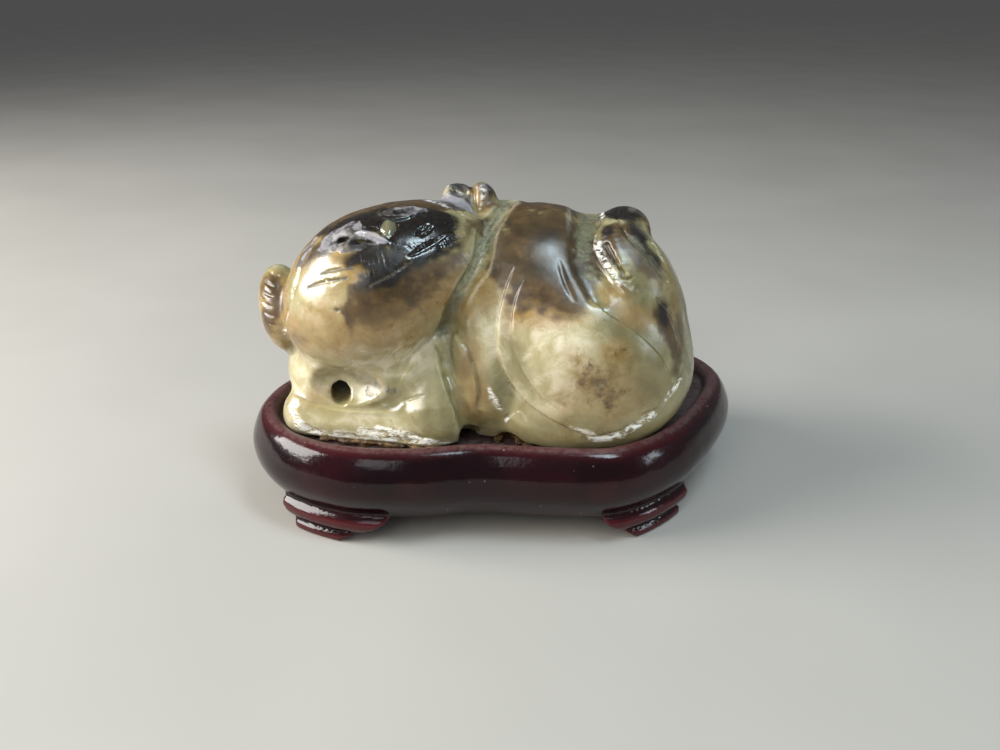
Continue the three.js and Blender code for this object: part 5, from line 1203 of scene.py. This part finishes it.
    # painted highlight: lighter on raised parts
    c = n.mix(n.math('MULTIPLY', n.ramp(ridge_highlight, 0.3, 1.0), 0.25), c, rgb('d0cab4'))
    # painted shade: darker in hollows and creases
    c = n.mix(n.math('MULTIPLY', n.ramp(hollow, 0.3, 1.0), 0.4), c, rgb('43371f'))
    c = n.mix(n.math('MULTIPLY', cut, 0.6), c, rgb('a89d80'))
    # painted shade: near black in cuts and pits and under the brow leaf
    c = n.mix(n.math('MULTIPLY', cut_shade, 0.95), c, rgb('0b0806'))
    # white chips, partly painted glints and a painted highlight on the tail lobe
    flake = n.ramp(n.noise(0.42, 3.0, 0.7, seed=11, stretch=(0.4, 1, 1)), 0.42, 0.54)
    cm = n.math('MULTIPLY', chip_and_glint, flake)
    c = n.mix(cm, c, rgb('fbf8ee'))
    # finish
    matt = n.math('ADD', n.math('MULTIPLY', ragged, n.ramp(dull, 0.0, 0.2)), green, clamp=True)
    rough = n.math('ADD', 0.13, n.math('MULTIPLY', n.ramp(mid, 0.3, 0.7), 0.08))
    rough = n.math('ADD', rough, n.math('MULTIPLY', n.math('ADD', n.math('MULTIPLY', pale, 0.6), olive_and_shade, clamp=True), 0.17))
    rough = n.math('ADD', rough, n.math('MULTIPLY', tint, 0.14))
    rough = n.math('ADD', rough, n.math('MULTIPLY', matt, 0.28))
    rough = n.math('ADD', rough, n.math('MULTIPLY', cm, 0.15))
    rough = n.math('ADD', rough, n.math('MULTIPLY', cut_shade, 0.45))
    rough = n.math('ADD', rough, n.math('MULTIPLY', n.ramp(fine, 0.5, 0.8), 0.08), clamp=True)
    b = n.bump(n.noise(2.2, 2.0, seed=13), 0.05, 0.6)
    b = n.bump(fine, 0.025, 0.5, b)
    b = n.bump(n.math('MULTIPLY', grain, n.math('ADD', 0.1, n.math('MULTIPLY', matt, 0.9))), 0.04, 0.8, b)
    b = n.bump(cm, 0.06, 0.9, b)
    through = n.math('MULTIPLY', 0.4, n.math('SUBTRACT', 1.0, n.math('ADD', cut_shade, n.math('MULTIPLY', black, 0.6), clamp=True)))
    n.set(Base_Color=c, Roughness=rough, Normal=b, Subsurface_Weight=through, IOR=1.6, Specular_IOR_Level=0.6, Coat_Weight=0.0)
    n.bsdf.inputs['Subsurface Radius'].default_value = (1.0, 0.75, 0.45)
    n.bsdf.inputs['Subsurface Scale'].default_value = 0.0018
    return n.mat


def lacquer_material():
    n = Nodes('lacquer')
    dust, worn, low = n.attr('tone_s')
    big = n.noise(9.0, 3.0, 0.5, seed=1)
    grain = n.noise(1.2, 3.0, 0.6, stretch=(0.12, 0.5, 1.0), seed=2, warp=0.3)
    fine = n.noise(0.35, 2.0, 0.5, seed=3)
    c = n.mix(n.ramp(big, 0.3, 0.7), rgb('110407'), rgb('23070d'))
    c = n.mix(n.math('MULTIPLY', n.ramp(grain, 0.4, 0.7), 0.5), c, rgb('100406'))
    c = n.mix(n.math('MULTIPLY', worn, 0.5), c, rgb('5c1f22'))
    dn = n.math('MULTIPLY', dust, n.ramp(n.noise(0.7, 3.0, 0.65, seed=5), 0.3, 0.7, 0.25, 1.0))
    c = n.mix(n.math('MULTIPLY', dn, 0.6), c, rgb('6b5a58'))
    lint = n.ramp(n.cells(1.4), 0.09, 0.04)
    c = n.mix(n.math('MULTIPLY', lint, n.ramp(n.noise(4.0, 1, seed=8), 0.52, 0.6, 0, 0.7)), c, rgb('9c8d88'))
    rough = n.math('ADD', 0.12, n.math('MULTIPLY', n.ramp(fine, 0.35, 0.7), 0.06))
    rough = n.math('ADD', rough, n.math('MULTIPLY', dn, 0.45), clamp=True)
    b = n.bump(grain, 0.05, 0.7)
    b = n.bump(n.noise(2.6, 2.0, seed=6), 0.08, 0.5, b)
    b = n.bump(fine, 0.02, 0.5, b)
    n.set(Base_Color=c, Roughness=rough, Normal=b, IOR=1.45, Specular_IOR_Level=0.42, Coat_Weight=0.0)
    return n.mat


def residue_material():
    n = Nodes('old_glue')
    a = n.noise(0.6, 4.0, 0.7, seed=1)
    c = n.mix(n.ramp(a, 0.35, 0.65), rgb('24180d'), rgb('6a4e2c'))
    n.set(Base_Color=c, Roughness=n.ramp(a, 0.3, 0.7, 0.45, 0.8), Normal=n.bump(n.noise(0.4, 3, seed=2), 0.12, 1.0))
    return n.mat


def floor_material():
    n = Nodes('pale_floor')
    a = n.noise(40.0, 2.0, 0.5, seed=1)
    n.set(Base_Color=n.mix(n.ramp(a, 0.3, 0.7), rgb('a5a29c'), rgb('aaa7a1')), Roughness=0.75)
    return n.mat


# ------------------------------------------------------------------------ pieces
def give(ob, name, a, b, c):
    at = ob.data.attributes.new(name, 'FLOAT_VECTOR', 'POINT')
    at.data.foreach_set('vector', np.stack([a, b, c], 1).astype(np.float32).ravel())


FINE_STEP = 0.335
V, Q = skin(jade, (-30, -17, 8.7), (27, 15, 37.5), FINE_STEP)
V = settle(jade, V, FINE_STEP)
T = np.concatenate([Q[:, [0, 1, 2]], Q[:, [0, 2, 3]]])
V, T = refine(V, T, worked_zone(V[T].mean(1), 0.32))
V = settle(jade, V, FINE_STEP * 0.5)
N = vertex_normals(V, T)
masks = stone_masks(V, N)
out_by = bulge(V, T, N, 10)
V[:, 0] += JADE_SHIFT
beast = mesh_object('jade_carving', V, T)
give(beast, 'tone_a', masks['dark_and_shadow'], masks['brown'], masks['amber_and_rim_light'])
give(beast, 'tone_b', masks['green'], masks['chip_and_glint'], masks['dull'])
# painted shade in hollows and painted highlight on raised parts, from how far the skin stands in or out
give(beast, 'tone_c', smooth_step(0.03, 0.22, -out_by), smooth_step(0.05, 0.2, out_by), masks['drop'])
give(beast, 'tone_d', masks['cut_shade'], masks['cut'], masks['olive_and_shade'])
give(beast, 'tone_e', masks['pale'], masks['mottle'], masks['leaf'])
beast.data.materials.append(jade_material())
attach(beast, 'root')
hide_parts('jade_beast')

STEP = 0.32
V, Q = skin(stand, (-32, -20, -0.8), (32, 20, 12.5), STEP)
V = settle(stand, V, STEP)
V[:, 2] = np.maximum(V[:, 2], 0)
T = np.concatenate([Q[:, [0, 1, 2]], Q[:, [0, 2, 3]]])
N = vertex_normals(V, T)
P = V.astype(F)
d = plan_chart.read(P[:, 0], P[:, 1])
dust = smooth_step(0.78, 0.97, N[:, 2]) * smooth_step(10.2, 10.9, V[:, 2]) * (0.7 + 0.3 * noise(P, 5.0, 41))
dust = np.maximum(dust, smooth_step(-0.3, -1.0, d) * smooth_step(9.0, 9.6, V[:, 2]))
out_by = bulge(V, T, N, 8)
base_ = mesh_object('stand_wood', V, T)
give(base_, 'tone_s', dust, smooth_step(0.04, 0.16, out_by), smooth_step(4.0, 0.0, V[:, 2]))
base_.data.materials.append(lacquer_material())
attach(base_, 'root')
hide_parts('wooden_stand')

V, Q = skin(residue, (-21.5, -15.6, 9.3), (4.0, -5.6, 10.9), 0.2)
V = settle(residue, V, 0.2)
glue = mesh_object('old_glue', V, np.concatenate([Q[:, [0, 1, 2]], Q[:, [0, 2, 3]]]))
glue.data.materials.append(residue_material())
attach(glue, 'root')


# ----------------------------------------------------------------- floor, lights
def area(name, az, el, dist, size, power, colour, target=(0, 0, 15)):
    """A soft light seen from the object at azimuth az (0 front, 90 right) and elevation el."""
    a, e = math.radians(az), math.radians(el)
    way = Vector((math.sin(a) * math.cos(e), -math.cos(a) * math.cos(e), math.sin(e)))
    li = bpy.data.lights.new(name, 'AREA')
    li.shape = 'RECTANGLE'
    li.size, li.size_y = size[0] * MM, size[1] * MM
    li.energy = power
    li.color = colour
    ob = bpy.data.objects.new(name, li)
    ob.location = (Vector(target) + way * dist) * MM
    ob.rotation_euler = (-way).to_track_quat('-Z', 'Y').to_euler()
    bpy.context.scene.collection.objects.link(ob)
    return ob


floor_mesh = bpy.data.meshes.new('floor')
r = 12.0
floor_mesh.from_pydata([(-r, -r, 0), (r, -r, 0), (r, r, 0), (-r, r, 0)], [], [(0, 1, 2, 3)])
floor = bpy.data.objects.new('floor', floor_mesh)
bpy.context.scene.collection.objects.link(floor)
floor.data.materials.append(floor_material())

area('window', -88, 25, 330, (230, 180), 2.0, (1.0, 0.97, 0.93))
area('sky_right', 68, 14, 330, (62, 76), 0.12, (0.8, 0.92, 1.0))
area('sky_top', 38, 63, 300, (70, 150), 0.5, (0.72, 0.9, 1.0))
area('tall_front', -26, 32, 330, (90, 140), 0.09, (0.97, 0.97, 1.0))
fill = area('soft_front', -20, 40, 460, (420, 320), 0.8, (1.0, 0.95, 0.87))
fill.visible_glossy = False
world = bpy.data.worlds.new('studio')
world.use_nodes = True
world.node_tree.nodes['Background'].inputs[0].default_value = (0.6, 0.62, 0.66, 1)
world.node_tree.nodes['Background'].inputs[1].default_value = 0.26
bpy.context.scene.world = world
bpy.context.scene.view_settings.view_transform = 'Standard'

# ------------------------------------------------------------------------ camera
cam = bpy.data.cameras.new('camera')
cam.lens = 32
cam.sensor_width = 36
cam.clip_start = 0.005
cam_ob = bpy.data.objects.new('camera', cam)
a, e = math.radians(-5), math.radians(24)
back = Vector((math.sin(a) * math.cos(e), -math.cos(a) * math.cos(e), math.sin(e)))
cam_ob.location = (Vector((0.27, 2.0, 12.5)) + back * 106) * MM
cam_ob.rotation_euler = (-back).to_track_quat('-Z', 'Y').to_euler()
bpy.context.scene.collection.objects.link(cam_ob)
bpy.context.scene.camera = cam_ob

bpy.context.view_layer.update()
